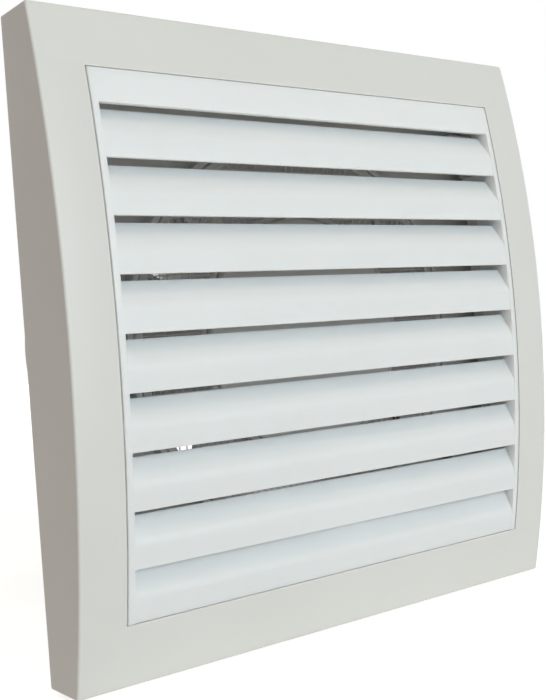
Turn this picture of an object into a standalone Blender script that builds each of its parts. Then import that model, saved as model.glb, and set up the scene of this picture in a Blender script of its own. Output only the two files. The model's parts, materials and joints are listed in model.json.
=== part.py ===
"""Bathroom exhaust fan for a 100 mm duct, with a bowed square cover and a fixed louvre.

Metres, +Z up, +X to the right seen from the room. The wall is the plane y = 0, the room is
at -Y and the duct runs towards +Y. The origin is on the duct's axis in the wall plane.
Names that end in _y are places along Y; the other lengths are sizes.
"""

import math

import bmesh
import bpy
from mathutils import Matrix, Vector

# Fits
clearance = 0.0003
overrun = 0.002
bury = 0.0008

# Front cover
face_side = 0.150
edge_depth = 0.0127
bow_rise = 0.00875
cover_wall = 0.0020
edge_round = 0.0005
skirt_draft = 0.0005
side_band = 0.0120
top_band = 0.0141
bottom_band = 0.0146
collar_wall = 0.0015
collar_back_y = -0.0062
stiffener_wall = 0.0012
stiffener_back_y = -0.0079
stiffener_place_share = 0.55
lug_side = 0.0106
lug_wall = 0.0020
lug_inset = 0.0124
bow_steps = 16

# Louvre grille
groove = 0.0004
rim_wall = 0.0016
louvre_back_y = -0.0115
fascia_height = 0.00775
fascia_wall = 0.0016
slat_pitch = 0.0125
slat_drop = 0.00115
slat_setback = 0.0026
slat_flat = 0.0058
slat_knee = 0.0013
knee_shares = (-1, -0.5, 0, 0.5, 1)
slat_wall = 0.0013
slat_recess = 0.00008
tongue_width = 0.0080
tongue_length = 0.0045
tongue_reach = 0.038
tongue_guide = 0.0012

# Rear housing
spigot_radius = 0.0495
spigot_wall = 0.0018
spigot_length = 0.0645
spigot_chamfer = 0.0010
plate_wall = 0.0020
plate_rim_wall = 0.0016
plate_rim_y = -0.0070
screen_seat_y = -0.0039
screen_guard_y = -0.0054
screen_guard_wall = 0.0016
wall_hole_radius = 0.0022
wall_hole_length = 0.0080
wall_hole_inset = 0.0084
lead_notch = 0.0130
round_steps = 40
turned_steps = 28
rod_steps = 12
small_steps = 16
slot_steps = 6

# Insect screen
net_wall = 0.0008
net_strand = 0.0009
net_pitch = 0.0056
net_rim = 0.0023
net_hub_rim = 0.0016
net_rim_lap = 0.0002
net_rim_back = 0.0001

# Motor carrier
cup_room = 0.0017
cup_wall = 0.0018
cup_face_y = -0.0064
cup_face_wall = 0.0016
cup_back_y = 0.0235
cup_edge_round = 0.0012
arm_count = 4
arm_flange = 0.0120
arm_flange_wall = 0.0016
arm_web = 0.0024
arm_back_y = 0.0190
arm_tip_back_y = 0.0060
foot_radius = 0.0034
foot_inset = 0.0041
seat_depth = 0.0090
lead_hole_radius = 0.0012

# Fan motor
stator_radius = 0.0265
stator_yoke = 0.0042
stator_front_y = 0.0035
stack_length = 0.0140
pole_width = 0.0072
pole_count = 4
shoe_spread = math.radians(33)
shoe_depth = 0.0026
shoe_corner_share = 0.92
yoke_corner_share = 0.8
bore_arc_shares = (-1, -0.5, 0, 0.5, 1)
air_gap = 0.0004
rotor_radius = 0.0120
rotor_ring = 0.0030
rotor_ring_length = 0.0015
rotor_steps = 24
bobbin_wall = 0.0009
bobbin_flange = 0.0072
bobbin_height = 0.0220
bobbin_flange_wall = 0.0008
winding_wall = 0.0019
winding_round = 0.0008
shaft_radius = 0.0020
shaft_end_y = 0.0545
shaft_chamfer = 0.0004
bearing_radius = 0.0055
bearing_length = 0.0040
bearing_groove = 0.0003
bearing_land = 0.0009
seat_wall = 0.0017
cover_plate_wall = 0.0018
cover_lip = 0.0012
bolt_inset = 0.0033
bolt_boss_radius = 0.0031
bolt_ear_inset = 0.0034
bolt_ear_spread = math.radians(11)

# Impeller
hub_radius = 0.0260
hub_wall = 0.0018
hub_front_y = 0.0284
hub_back_y = 0.0500
hub_dome = 0.0022
hub_crown_share = 0.62
hub_crown_rise_share = 0.7
hub_shoulder_share = 0.92
hub_boss_radius = 0.0046
hub_boss_front_y = 0.0345
hub_rib_wall = 0.0012
blade_count = 7
blade_tip_gap = 0.0013
blade_wall = 0.0015
blade_root_chord = 0.0215
blade_tip_chord = 0.0300
blade_root_pitch = math.radians(50)
blade_tip_pitch = math.radians(30)
blade_camber_share = 0.08
blade_sweep = math.radians(10)
blade_middle_y = 0.0396
blade_steps_out = 4
blade_steps_across = 5
clip_radius = 0.0052
clip_wall = 0.0012

# Screws: one size holds the carrier and the cover, one the motor, one the terminals
fixing_radius = 0.0014
fixing_head_radius = 0.0028
fixing_head = 0.0016
fixing_length = 0.0080
fixing_hole = 0.0017
fixing_pilot = 0.0017
bolt_radius = 0.0013
bolt_head_radius = 0.0025
bolt_head = 0.0015
bolt_hole = 0.0016
driver_slot = 0.0006
driver_slot_depth = 0.0006
screw_crown_share = 0.7
screw_edge_share = 0.55
screw_steps = 10

# Terminal block, its cover and the cable entry
block_side_gap = 0.00355
block_bottom_gap = 0.00605
block_width = 0.0175
block_height = 0.0065
block_length = 0.0115
pole_pitch = 0.0085
insert_radius = 0.0020
insert_bore = 0.00125
insert_length = 0.0105
insert_depth_share = 0.42
terminal_screw_radius = 0.0011
terminal_head_radius = 0.0016
terminal_screw_pitch = 0.0058
terminal_well_radius = 0.0019
terminal_cover_wall = 0.0009
terminal_cover_gap = 0.0005
terminal_room = 0.0007
terminal_tab = 0.0068
terminal_boss_radius = 0.0026
grommet_gap = 0.0013
grommet_neck = 0.0052
grommet_flange = 0.0070
grommet_flange_wall = 0.0010
grommet_bore = 0.0032

# Motor leads
lead_radius = 0.0008
lead_offset = 0.0046
lead_spacing = 0.0048
lead_straight = 0.0072

# Derived places and sizes
half_face = face_side / 2
bow_radius = (half_face**2 + bow_rise**2) / (2 * bow_rise)
front_y = -(edge_depth + bow_rise)
window_side = half_face - side_band
window_top = half_face - top_band
window_bottom = -(half_face - bottom_band)
louvre_side = window_side - groove
louvre_top = window_top - groove
louvre_bottom = window_bottom + groove
first_lip = louvre_top - fascia_height
slat_count = round((first_lip - louvre_bottom) / slat_pitch)
spigot_bore = spigot_radius - spigot_wall
plate_side = half_face - cover_wall - 2 * clearance
rim_inner = plate_side - plate_rim_wall
wall_hole_place = plate_side - wall_hole_inset
lug_front_y = louvre_back_y + clearance
lug_back_y = lug_front_y + lug_wall
lug_place = window_side - lug_side / 2
lug_reach = -window_bottom - lug_inset
foot_place = spigot_bore - foot_inset
seat_place = spigot_bore - foot_radius + bury / 2
cup_bore = stator_radius + cup_room
cup_radius = cup_bore + cup_wall
bolt_place = stator_radius - bolt_inset
bolt_ear_place = bolt_place - bolt_ear_inset
net_inner = cup_radius + clearance
net_outer = spigot_radius + bury
net_back_y = screen_seat_y - clearance
stator_back_y = stator_front_y + stack_length
stator_middle_y = stator_front_y + stack_length / 2
yoke_inner = stator_radius - stator_yoke
coil_inner = rotor_radius + air_gap + shoe_depth + clearance
coil_outer = math.sqrt((yoke_inner - clearance) ** 2 - (bobbin_flange + clearance) ** 2)
bearing_seat = bearing_radius + clearance
cup_inner_y = cup_face_y + cup_face_wall
end_cover_y = cup_back_y + clearance
end_cover_back_y = end_cover_y + cover_plate_wall
front_bearing_y = cup_inner_y + clearance
rear_bearing_y = end_cover_back_y - bearing_length - clearance
hub_bore = shaft_radius + clearance
blade_tip = spigot_bore - blade_tip_gap
plate_front_y = -plate_wall
block_x = rim_inner - block_side_gap - block_width / 2
block_z = -(rim_inner - block_bottom_gap - block_length / 2)
block_back_y = plate_front_y - clearance
block_front_y = block_back_y - block_height
insert_y = block_back_y - block_height * insert_depth_share
block_top_z = block_z + block_length / 2
lead_plane_y = plate_front_y - clearance - lead_radius
terminal_cover_margin = terminal_cover_gap + terminal_cover_wall
terminal_boss_x = (
    block_x - block_width / 2 - terminal_cover_margin - clearance - terminal_boss_radius
)
grommet_x = terminal_boss_x - terminal_boss_radius - grommet_gap - grommet_flange
grommet_z = -(rim_inner - grommet_gap - grommet_flange)
lug_places = [(side * lug_place, side * lug_reach) for side in (-1, 1)]

# Materials: colour, roughness, metallic
finishes = {
    "cover_white": ((0.78, 0.78, 0.75), 0.42, 0.0),
    "louvre_white": ((0.84, 0.86, 0.86), 0.38, 0.0),
    "housing_white": ((0.76, 0.76, 0.74), 0.48, 0.0),
    "net_grey": ((0.55, 0.55, 0.54), 0.55, 0.0),
    "impeller_grey": ((0.62, 0.63, 0.64), 0.45, 0.0),
    "lamination_steel": ((0.34, 0.34, 0.36), 0.45, 0.9),
    "bobbin_nylon": ((0.72, 0.70, 0.60), 0.5, 0.0),
    "winding_copper": ((0.60, 0.25, 0.10), 0.35, 0.9),
    "rotor_aluminium": ((0.60, 0.61, 0.62), 0.4, 0.9),
    "shaft_steel": ((0.62, 0.62, 0.63), 0.25, 1.0),
    "bearing_steel": ((0.55, 0.56, 0.58), 0.25, 1.0),
    "screw_steel": ((0.58, 0.58, 0.60), 0.3, 1.0),
    "terminal_plastic": ((0.80, 0.79, 0.74), 0.5, 0.0),
    "terminal_brass": ((0.72, 0.52, 0.22), 0.3, 1.0),
    "grommet_rubber": ((0.06, 0.06, 0.06), 0.8, 0.0),
    "lead_brown": ((0.20, 0.08, 0.04), 0.5, 0.0),
    "lead_blue": ((0.04, 0.14, 0.42), 0.5, 0.0),
}

along_y = Matrix.Rotation(math.radians(-90), 4, "X")
outline_xz = Matrix.Rotation(math.radians(90), 4, "X")
outline_yz = Matrix(((0, 0, 1, 0), (1, 0, 0, 0), (0, 1, 0, 0), (0, 0, 0, 1)))


def clear_scene():
    """Removes what the scene holds, so that the script can run again."""
    for obj in list(bpy.data.objects):
        bpy.data.objects.remove(obj, do_unlink=True)
    for collection in list(bpy.data.collections):
        bpy.data.collections.remove(collection)


def new_collection(name):
    collection = bpy.data.collections.new(name)
    bpy.context.scene.collection.children.link(collection)
    return collection


def material_named(name):
    """The Principled material of one finish, made once."""
    found = bpy.data.materials.get(name)
    if found:
        return found
    colour, roughness, metallic = finishes[name]
    material = bpy.data.materials.new(name)
    material.use_nodes = True
    shader = material.node_tree.nodes["Principled BSDF"]
    shader.inputs["Base Color"].default_value = (*colour, 1)
    shader.inputs["Roughness"].default_value = roughness
    shader.inputs["Metallic"].default_value = metallic
    material.diffuse_color = (*colour, 1)
    return material


def tidy(work):
    """Welds loose seams and turns every face outwards."""
    bmesh.ops.remove_doubles(work, verts=work.verts, dist=clearance / 300)
    bmesh.ops.recalc_face_normals(work, faces=work.faces)


def as_object(name, work, matrix=None):
    """An object in the construction collection from a bmesh, which it frees."""
    tidy(work)
    mesh = bpy.data.meshes.new(name)
    work.to_mesh(mesh)
    work.free()
    obj = bpy.data.objects.new(name, mesh)
    if matrix is not None:
        mesh.transform(matrix)
    construction.objects.link(obj)
    obj.hide_render = True
    obj.display_type = "WIRE"
    return obj


def baked(obj):
    """The object with its modifiers or its curve made into a plain mesh."""
    switch_on(obj)
    bpy.context.view_layer.update()
    graph = bpy.context.evaluated_depsgraph_get()
    mesh = bpy.data.meshes.new_from_object(obj.evaluated_get(graph))
    work = bmesh.new()
    work.from_mesh(mesh)
    work.transform(obj.matrix_world)
    name = obj.name
    bpy.data.objects.remove(obj)
    bpy.data.meshes.remove(mesh)
    return as_object(name, work)


def box(name, low, high):
    """A box between two corners."""
    low, high = Vector(low), Vector(high)
    work = bmesh.new()
    size = high - low
    place = Matrix.Translation((low + high) / 2) @ Matrix.Diagonal((*size, 1))
    bmesh.ops.create_cube(work, size=1, matrix=place)
    return as_object(name, work)


def rod(name, x, z, radius, y_low, y_high, steps=None, end_radius=None):
    """A cylinder, or a cone, along Y."""
    work = bmesh.new()
    place = Matrix.Translation((x, (y_low + y_high) / 2, z)) @ along_y
    bmesh.ops.create_cone(
        work,
        cap_ends=True,
        segments=steps or rod_steps,
        radius1=radius,
        radius2=radius if end_radius is None else end_radius,
        depth=y_high - y_low,
        matrix=place,
    )
    return as_object(name, work)


def turned(name, profile, steps=None):
    """A body turned about the duct's axis from (radius, y) points, joined up where it is a ring."""
    mesh = bpy.data.meshes.new(name)
    points = [(radius, 0, y) for radius, y in profile]
    edges = [(i, i + 1) for i in range(len(points) - 1)]
    if min(radius for radius, y in profile) > 0:
        edges.append((len(points) - 1, 0))
    mesh.from_pydata(points, edges, [])
    obj = bpy.data.objects.new(name, mesh)
    construction.objects.link(obj)
    obj.matrix_world = along_y
    screw = obj.modifiers.new("turn", "SCREW")
    screw.axis = "Z"
    screw.angle = math.tau
    screw.steps = steps or turned_steps
    screw.render_steps = screw.steps
    screw.use_merge_vertices = True
    screw.merge_threshold = clearance / 30
    return baked(obj)


def ring(name, inner, outer, y_low, y_high, steps=None):
    """A plain ring about the duct's axis."""
    profile = [(inner, y_low), (outer, y_low), (outer, y_high), (inner, y_high)]
    return turned(name, profile, steps)


def extruded(name, outlines, depth, matrix):
    """Closed outlines, the first one's holes after it, made depth thick about their plane."""
    curve = bpy.data.curves.new(name, "CURVE")
    curve.dimensions = "2D"
    curve.fill_mode = "BOTH"
    curve.extrude = depth / 2
    for outline in outlines:
        spline = curve.splines.new("POLY")
        spline.points.add(len(outline) - 1)
        for point, (across, up) in zip(spline.points, outline):
            point.co = (across, up, 0, 1)
        spline.use_cyclic_u = True
    obj = bpy.data.objects.new(name, curve)
    construction.objects.link(obj)
    obj.matrix_world = matrix
    return baked(obj)


def boolean(obj, operation, others):
    """Adds or cuts a group of helper shapes, kept in a collection of their own."""
    group = bpy.data.collections.new(f"{obj.name}_{operation.lower()}")
    construction.children.link(group)
    for other in others:
        construction.objects.unlink(other)
        group.objects.link(other)
    modifier = obj.modifiers.new(operation.lower(), "BOOLEAN")
    modifier.operation = operation
    modifier.solver = "EXACT"
    modifier.operand_type = "COLLECTION"
    modifier.collection = group
    modifier.show_viewport = False
    modifier.show_render = False
    return obj


def switch_on(obj):
    """Booleans wait until the shapes are complete, so each is worked out once."""
    for modifier in obj.modifiers:
        modifier.show_viewport = True
        modifier.show_render = True


def joined(obj, *others):
    return boolean(obj, "UNION", others)


def cut(obj, *others):
    return boolean(obj, "DIFFERENCE", others)


def finished(obj, name, finish, parent):
    """Makes a shape a part: its name, material, smooth shading and parent."""
    construction.objects.unlink(obj)
    parts.objects.link(obj)
    obj.name = name
    obj.hide_render = False
    obj.display_type = "TEXTURED"
    obj.data.materials.clear()
    obj.data.materials.append(material_named(finish))
    obj.data.shade_smooth()
    obj.data.set_sharp_from_angle(angle=math.radians(35))
    obj.parent = parent
    obj.matrix_parent_inverse = parent.matrix_world.inverted()
    return obj


def copy_of(obj, name, matrix, parent):
    """Another part with the same mesh, moved by a matrix in the world."""
    other = obj.copy()
    other.name = name
    parts.objects.link(other)
    other.parent = parent
    other.matrix_parent_inverse = parent.matrix_world.inverted()
    other.matrix_world = matrix
    return other


def axis_empty(name):
    """An empty on the duct's axis, the parent of what moves or stays together."""
    empty = bpy.data.objects.new(name, None)
    empty.empty_display_size = half_face / 2
    parts.objects.link(empty)
    return empty


def bow_y(z, inset=0.0):
    """Y of the bowed front at a height, moved towards the wall by inset."""
    return front_y + bow_radius - math.sqrt((bow_radius - inset) ** 2 - z**2)


def bowed_block(name, half_width, z_low, z_high, y_back, inset=0.0):
    """A block with the bowed front, flat behind."""
    heights = [z_low + (z_high - z_low) * i / bow_steps for i in range(bow_steps + 1)]
    outline = [(y_back, z_low)]
    outline += [(bow_y(z, inset), z) for z in heights]
    outline.append((y_back, z_high))
    return extruded(name, [outline], 2 * half_width, outline_yz)


def quarter_turns(count=arm_count, start=math.radians(45)):
    """Turns about the duct's axis, one for each arm or bolt."""
    return [start + math.tau * i / count for i in range(count)]


def about_axis(angle):
    """The turn about Y that takes +X towards +Z by an angle."""
    return Matrix.Rotation(-angle, 4, "Y")


def at_angle(radius, angle):
    return radius * math.cos(angle), radius * math.sin(angle)


def build_front_cover(parent):
    """Bowed frame with its skirt, window collar, screw lugs and tongue guides."""
    skirt_y = -clearance
    shell = bowed_block("cover_shell", half_face, -half_face, half_face, skirt_y)
    draft_sides(shell, half_face)
    bevel = shell.modifiers.new("edge", "BEVEL")
    bevel.width = edge_round
    bevel.segments = 2
    bevel.limit_method = "ANGLE"
    bevel.angle_limit = math.radians(40)
    hollow_half = half_face - cover_wall
    hollow = bowed_block(
        "cover_hollow", hollow_half, -hollow_half, hollow_half, overrun, cover_wall
    )
    draft_sides(hollow, hollow_half, cover_wall)
    cut(shell, hollow)

    collar_side = window_side + collar_wall
    front_inside = bow_y(window_top, cover_wall / 2)
    adds = [
        box(
            "collar_left",
            (-collar_side, front_inside, window_bottom - collar_wall),
            (-window_side + bury, collar_back_y, window_top + collar_wall),
        ),
        box(
            "collar_right",
            (window_side - bury, front_inside, window_bottom - collar_wall),
            (collar_side, collar_back_y, window_top + collar_wall),
        ),
        box(
            "collar_top",
            (-collar_side, front_inside, window_top - bury),
            (collar_side, collar_back_y, window_top + collar_wall),
        ),
        box(
            "collar_bottom",
            (-collar_side, front_inside, window_bottom - collar_wall),
            (collar_side, collar_back_y, window_bottom + bury),
        ),
    ]
    adds += side_collar_fills(collar_side)
    adds += cover_stiffeners(collar_side)
    joined(shell, *adds)
    window = box(
        "window",
        (-window_side, front_y - overrun, window_bottom),
        (window_side, overrun, window_top),
    )
    cut(shell, window)

    inner_adds = []
    for side in (-1, 1):
        low_x, high_x = sorted((side * (window_side - lug_side), side * (window_side + bury)))
        lug_z = side * lug_reach
        inner_adds.append(
            box(
                f"lug_{side}",
                (low_x, lug_front_y, lug_z - lug_side / 2),
                (high_x, lug_back_y, lug_z + lug_side / 2),
            )
        )
        for up in (-1, 1):
            for edge in (-1, 1):
                guide_z = up * tongue_reach + edge * (tongue_width / 2 + clearance)
                low_z, high_z = sorted((guide_z, guide_z + edge * tongue_guide))
                reach = window_side - groove - rim_wall
                low_x, high_x = sorted((side * reach, side * (window_side + bury)))
                inner_adds.append(
                    box(
                        f"guide_{side}_{up}_{edge}",
                        (low_x, lug_front_y, low_z),
                        (high_x, collar_back_y, high_z),
                    )
                )
    joined(shell, *inner_adds)
    holes = [
        rod(f"lug_hole_{i}", x, z, fixing_hole, lug_front_y - overrun, lug_back_y + overrun)
        for i, (x, z) in enumerate(lug_places)
    ]
    low, high = terminal_cover_corners()
    room = Vector((terminal_room, terminal_room, terminal_room))
    low.x = terminal_boss_x - terminal_tab / 2
    holes.append(box("collar_notch", low - room, Vector((high.x, overrun, high.z)) + room))
    cut(shell, *holes)
    return finished(shell, "front_cover", "cover_white", parent)


def draft_sides(block, half, inset=0.0):
    """Slopes a bowed block's four sides in towards its front, as the mould needs."""
    widest_y = -(clearance + edge_round)
    for vert in block.data.vertices:
        x, y, z = vert.co
        side = half + skirt_draft * (min(y, 0) - widest_y) / edge_depth
        if abs(z) > half - clearance:
            z = math.copysign(side, z)
            if y < -edge_depth / 2:
                y = bow_y(z, inset)
        vert.co = (math.copysign(side, x), y, z)


def side_collar_fills(collar_side):
    """The collar's sides follow the bow up to the inside of the front."""
    fills = []
    for side in (-1, 1):
        wall = bowed_block(
            f"collar_bow_{side}",
            (collar_wall + bury) / 2,
            window_bottom - collar_wall,
            window_top + collar_wall,
            collar_back_y,
            cover_wall / 2,
        )
        middle = side * (collar_side - (collar_wall + bury) / 2)
        wall.data.transform(Matrix.Translation((middle, 0, 0)))
        fills.append(wall)
    return fills


def cover_stiffeners(collar_side):
    """Short ribs between the window's collar and the skirt, two to a band."""
    ribs = []
    reach = half_face - skirt_draft - cover_wall / 2
    half = stiffener_wall / 2
    place = half_face * stiffener_place_share
    for side in (-1, 1):
        for up in (-1, 1):
            low_x, high_x = sorted((side * (collar_side - bury), side * reach))
            ribs.append(
                box(
                    f"side_rib_{side}_{up}",
                    (low_x, bow_y(place, cover_wall / 2), up * place - half),
                    (high_x, stiffener_back_y, up * place + half),
                )
            )
            inner = window_top if up > 0 else -window_bottom
            low_z, high_z = sorted((up * (inner + bury), up * reach))
            ribs.append(
                box(
                    f"level_rib_{side}_{up}",
                    (side * place - half, bow_y(reach, cover_wall / 2), low_z),
                    (side * place + half, stiffener_back_y, high_z),
                )
            )
    return ribs


def slat_outline(lip_z, height):
    """One slat's section: flush at its lip, leaning back above a rounded knee."""
    lean = slat_setback / (height - slat_flat)
    steps = [(0, 0)]
    for share in knee_shares:
        steps.append((slat_flat + slat_knee * share, lean * slat_knee * (1 + share) ** 2 / 4))
    steps.append((height, slat_setback))
    outer = [(bow_y(lip_z + up, slat_recess) + back, lip_z + up) for up, back in steps]
    inner = [(y + slat_wall, z) for y, z in reversed(outer)]
    return outer + inner


def build_louvre(parent):
    """Rim, top fascia and nine curved slats moulded in one, with four tongues behind."""
    frame = bowed_block("louvre_frame", louvre_side, louvre_bottom, louvre_top, louvre_back_y)
    inner_side = louvre_side - rim_wall
    opening = box(
        "louvre_opening",
        (-inner_side, front_y - overrun, louvre_bottom + rim_wall),
        (inner_side, louvre_back_y + overrun, first_lip),
    )
    pocket = bowed_block(
        "fascia_pocket",
        inner_side,
        first_lip - fascia_wall,
        louvre_top - rim_wall,
        louvre_back_y + overrun,
        fascia_wall,
    )
    cut(frame, opening, pocket)
    adds = []
    for i in range(slat_count):
        top_z = first_lip - i * slat_pitch - slat_drop
        lip_z = first_lip - (i + 1) * slat_pitch
        last = i == slat_count - 1
        if last:
            lip_z = louvre_bottom + slat_recess
        outline = slat_outline(lip_z, top_z - lip_z)
        adds.append(extruded(f"slat_{i}", [outline], 2 * (inner_side + bury), outline_yz))
    for side in (-1, 1):
        for up in (-1, 1):
            low_x, high_x = sorted((side * inner_side, side * louvre_side))
            adds.append(
                box(
                    f"tongue_{side}_{up}",
                    (low_x, louvre_back_y - bury, up * tongue_reach - tongue_width / 2),
                    (high_x, louvre_back_y + tongue_length, up * tongue_reach + tongue_width / 2),
                )
            )
    joined(frame, *adds)
    return finished(frame, "louvre_grille", "louvre_white", parent)


def slot_outline(x, z, half_width, length):
    """A slot with round ends, level, as (x, z) points."""
    straight = length / 2 - half_width
    points = []
    for side, start in ((1, -90), (-1, 90)):
        for i in range(slot_steps + 1):
            angle = math.radians(start + 180 * i / slot_steps)
            points.append(
                (
                    x + side * straight + half_width * math.cos(angle),
                    z + half_width * math.sin(angle),
                )
            )
    return points


def along_line(name, angle, inner, outer, half_width, y_low, y_high):
    """A box that runs out from the axis at an angle."""
    piece = box(name, (inner, y_low, -half_width), (outer, y_high, half_width))
    piece.data.transform(about_axis(angle))
    return piece


def build_housing(parent):
    """Base plate with its rim, spigot, screen seat, screw pillars and holes."""
    plate = box(
        "base_plate", (-plate_side, plate_front_y, -plate_side), (plate_side, 0, plate_side)
    )
    rim_outline = [
        [(-plate_side, -plate_side), (plate_side, -plate_side),
         (plate_side, plate_side), (-plate_side, plate_side)],
        [(-rim_inner, -rim_inner), (rim_inner, -rim_inner),
         (rim_inner, rim_inner), (-rim_inner, rim_inner)],
    ]
    rim = extruded("plate_rim", rim_outline, plate_front_y - plate_rim_y + bury, outline_xz)
    rim.data.transform(Matrix.Translation((0, (plate_front_y + plate_rim_y + bury) / 2, 0)))
    spigot = rod("spigot", 0, 0, spigot_radius, screen_seat_y, spigot_length - spigot_chamfer,
                 round_steps)
    spigot_end = rod("spigot_end", 0, 0, spigot_radius, spigot_length - spigot_chamfer - bury,
                     spigot_length, round_steps, spigot_radius - spigot_chamfer)
    guard_inner = net_outer + clearance
    guard = ring("screen_guard", guard_inner, guard_inner + screen_guard_wall, screen_guard_y,
                 plate_front_y + bury, round_steps)
    adds = [rim, spigot, spigot_end, guard]
    adds += [
        rod(f"cover_pillar_{i}", x, z, foot_radius, lug_back_y + clearance, plate_front_y + bury)
        for i, (x, z) in enumerate(lug_places)
    ]
    adds.append(
        rod("terminal_boss", terminal_boss_x, block_z, terminal_boss_radius,
            terminal_boss_front(), plate_front_y + bury)
    )
    joined(plate, *adds)

    bore = rod("spigot_bore", 0, 0, spigot_bore, screen_seat_y - overrun,
               spigot_length + overrun, round_steps)
    cut(plate, bore)
    seats = [
        rod(f"carrier_seat_{i}", *at_angle(seat_place, angle), foot_radius,
            arm_seat_y() + clearance, arm_seat_y() + clearance + seat_depth)
        for i, angle in enumerate(quarter_turns())
    ]
    outside = ring("seat_trim", spigot_radius - bury / 2, spigot_radius + 2 * foot_radius,
                   arm_seat_y(), arm_seat_y() + seat_depth + overrun)
    seat_group = seats[0]
    joined(seat_group, *seats[1:])
    cut(seat_group, outside)
    seat_group = baked(seat_group)
    joined(plate, seat_group)

    holes = [
        extruded(f"wall_slot_{x}_{z}", [slot_outline(x * wall_hole_place, z * wall_hole_place,
                 wall_hole_radius, wall_hole_length)], 4 * plate_wall + overrun, outline_xz)
        for x, z in ((-1, -1), (-1, 1), (1, 1))
    ]
    holes += [
        rod(f"seat_hole_{i}", *at_angle(foot_place, angle), fixing_pilot, -overrun,
            fixing_length)
        for i, angle in enumerate(quarter_turns())
    ]
    holes += [
        rod(f"pillar_hole_{i}", x, z, fixing_pilot, lug_back_y - overrun, plate_front_y)
        for i, (x, z) in enumerate(lug_places)
    ]
    holes.append(
        rod("terminal_hole", terminal_boss_x, block_z, bolt_hole,
            terminal_boss_front() - overrun, plate_front_y)
    )
    holes.append(
        rod("grommet_hole", grommet_x, grommet_z, grommet_neck + clearance,
            plate_front_y - overrun, overrun)
    )
    holes.append(
        rod("grommet_recess", grommet_x, grommet_z, grommet_flange + clearance,
            -grommet_flange_wall, overrun)
    )
    holes.append(
        along_line("lead_notch", math.radians(-45), spigot_bore - overrun,
                   net_outer + screen_guard_wall + overrun, lead_notch / 2,
                   screen_guard_y - overrun, plate_front_y)
    )
    cut(plate, *holes)
    return finished(plate, "rear_housing", "housing_white", parent)


def terminal_boss_front():
    """Where the terminal cover's tab sits on its boss."""
    return plate_front_y - block_height / 2


def arm_seat_y():
    """The back of the carrier's arm flanges, which rest on the spigot's seats."""
    return plate_front_y + arm_flange_wall


def build_screen(parent):
    """Flat square net between two rims, round the motor housing."""
    cells = math.ceil(net_outer / net_pitch)
    lines = []
    for i in range(-cells, cells + 1):
        lines += [i * net_pitch - net_strand / 2, i * net_pitch + net_strand / 2]
    count = len(lines) - 1
    work = bmesh.new()
    bmesh.ops.create_grid(work, x_segments=count, y_segments=count, size=count / 2)
    for vert in work.verts:
        column = round(vert.co.x + count / 2)
        row = round(vert.co.y + count / 2)
        vert.co = (lines[column], lines[row], 0)
    open_cells = []
    reach = net_outer - net_rim / 2
    for face in work.faces:
        middle = face.calc_center_median()
        sizes = [max(v.co[k] for v in face.verts) - min(v.co[k] for v in face.verts) for k in (0, 1)]
        if min(sizes) > net_strand + clearance or middle.length > reach + net_pitch:
            open_cells.append(face)
    bmesh.ops.delete(work, geom=open_cells, context="FACES")
    net = as_object("screen_net", work, outline_xz)
    net.data.transform(Matrix.Translation((0, net_back_y - net_wall / 2, 0)))
    solidify = net.modifiers.new("strands", "SOLIDIFY")
    solidify.thickness = net_wall
    solidify.offset = 0
    trim = ring("net_trim", net_inner + net_hub_rim / 2, reach, net_back_y - 2 * net_wall,
                net_back_y + net_wall, round_steps)
    boolean(net, "INTERSECT", [trim])
    rim_front_y = net_back_y - net_wall - net_rim_lap
    rim_back_y = net_back_y + net_rim_back
    rims = [
        ring("net_outer_rim", net_outer - net_rim, net_outer, rim_front_y, rim_back_y,
             round_steps),
        ring("net_inner_rim", net_inner, net_inner + net_hub_rim, rim_front_y, rim_back_y),
    ]
    joined(net, *rims)
    return finished(net, "insect_screen", "net_grey", parent)


def build_carrier(parent):
    """Motor cup on four arms that screw to the spigot's seats."""
    face_edge = cup_radius - cup_edge_round
    cup = turned(
        "cup",
        [
            (0, cup_face_y),
            (face_edge, cup_face_y),
            (cup_radius, cup_face_y + cup_edge_round),
            (cup_radius, cup_back_y),
            (cup_bore, cup_back_y),
            (cup_bore, cup_inner_y),
            (bearing_seat + seat_wall, cup_inner_y),
            (bearing_seat + seat_wall, front_bearing_y + bearing_length),
            (bearing_seat, front_bearing_y + bearing_length),
            (bearing_seat, cup_inner_y),
            (0, cup_inner_y),
        ],
    )
    adds = []
    for i, angle in enumerate(quarter_turns()):
        adds.append(
            along_line(f"arm_flange_{i}", angle, cup_radius - bury, foot_place,
                       arm_flange / 2, plate_front_y, arm_seat_y())
        )
        adds.append(
            rod(f"arm_foot_{i}", *at_angle(foot_place, angle), foot_radius,
                plate_front_y, arm_seat_y())
        )
        adds.append(arm_web_piece(f"arm_web_{i}", angle))
        adds.append(
            rod(f"bolt_boss_{i}", *at_angle(bolt_place, angle), bolt_boss_radius,
                cup_inner_y - bury, stator_front_y - clearance)
        )
    joined(cup, *adds)
    holes = []
    for i, angle in enumerate(quarter_turns()):
        holes.append(
            rod(f"foot_hole_{i}", *at_angle(foot_place, angle), fixing_hole,
                plate_front_y - overrun, arm_seat_y() + overrun)
        )
        holes.append(
            rod(f"boss_hole_{i}", *at_angle(bolt_place, angle), bolt_hole,
                cup_inner_y + clearance, stator_front_y + overrun)
        )
    for side in (-1, 1):
        hole = rod(f"lead_hole_{side}", 0, 0, lead_hole_radius, 0, cup_wall + 2 * overrun)
        turn = about_axis(math.radians(-45)) @ Matrix.Translation(
            (cup_bore - 2 * overrun, lead_plane_y, side * lead_offset)
        )
        hole.data.transform(turn @ Matrix.Rotation(math.radians(-90), 4, "Z"))
        holes.append(hole)
    cut(cup, *holes)
    return finished(cup, "motor_carrier", "housing_white", parent)


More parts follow.
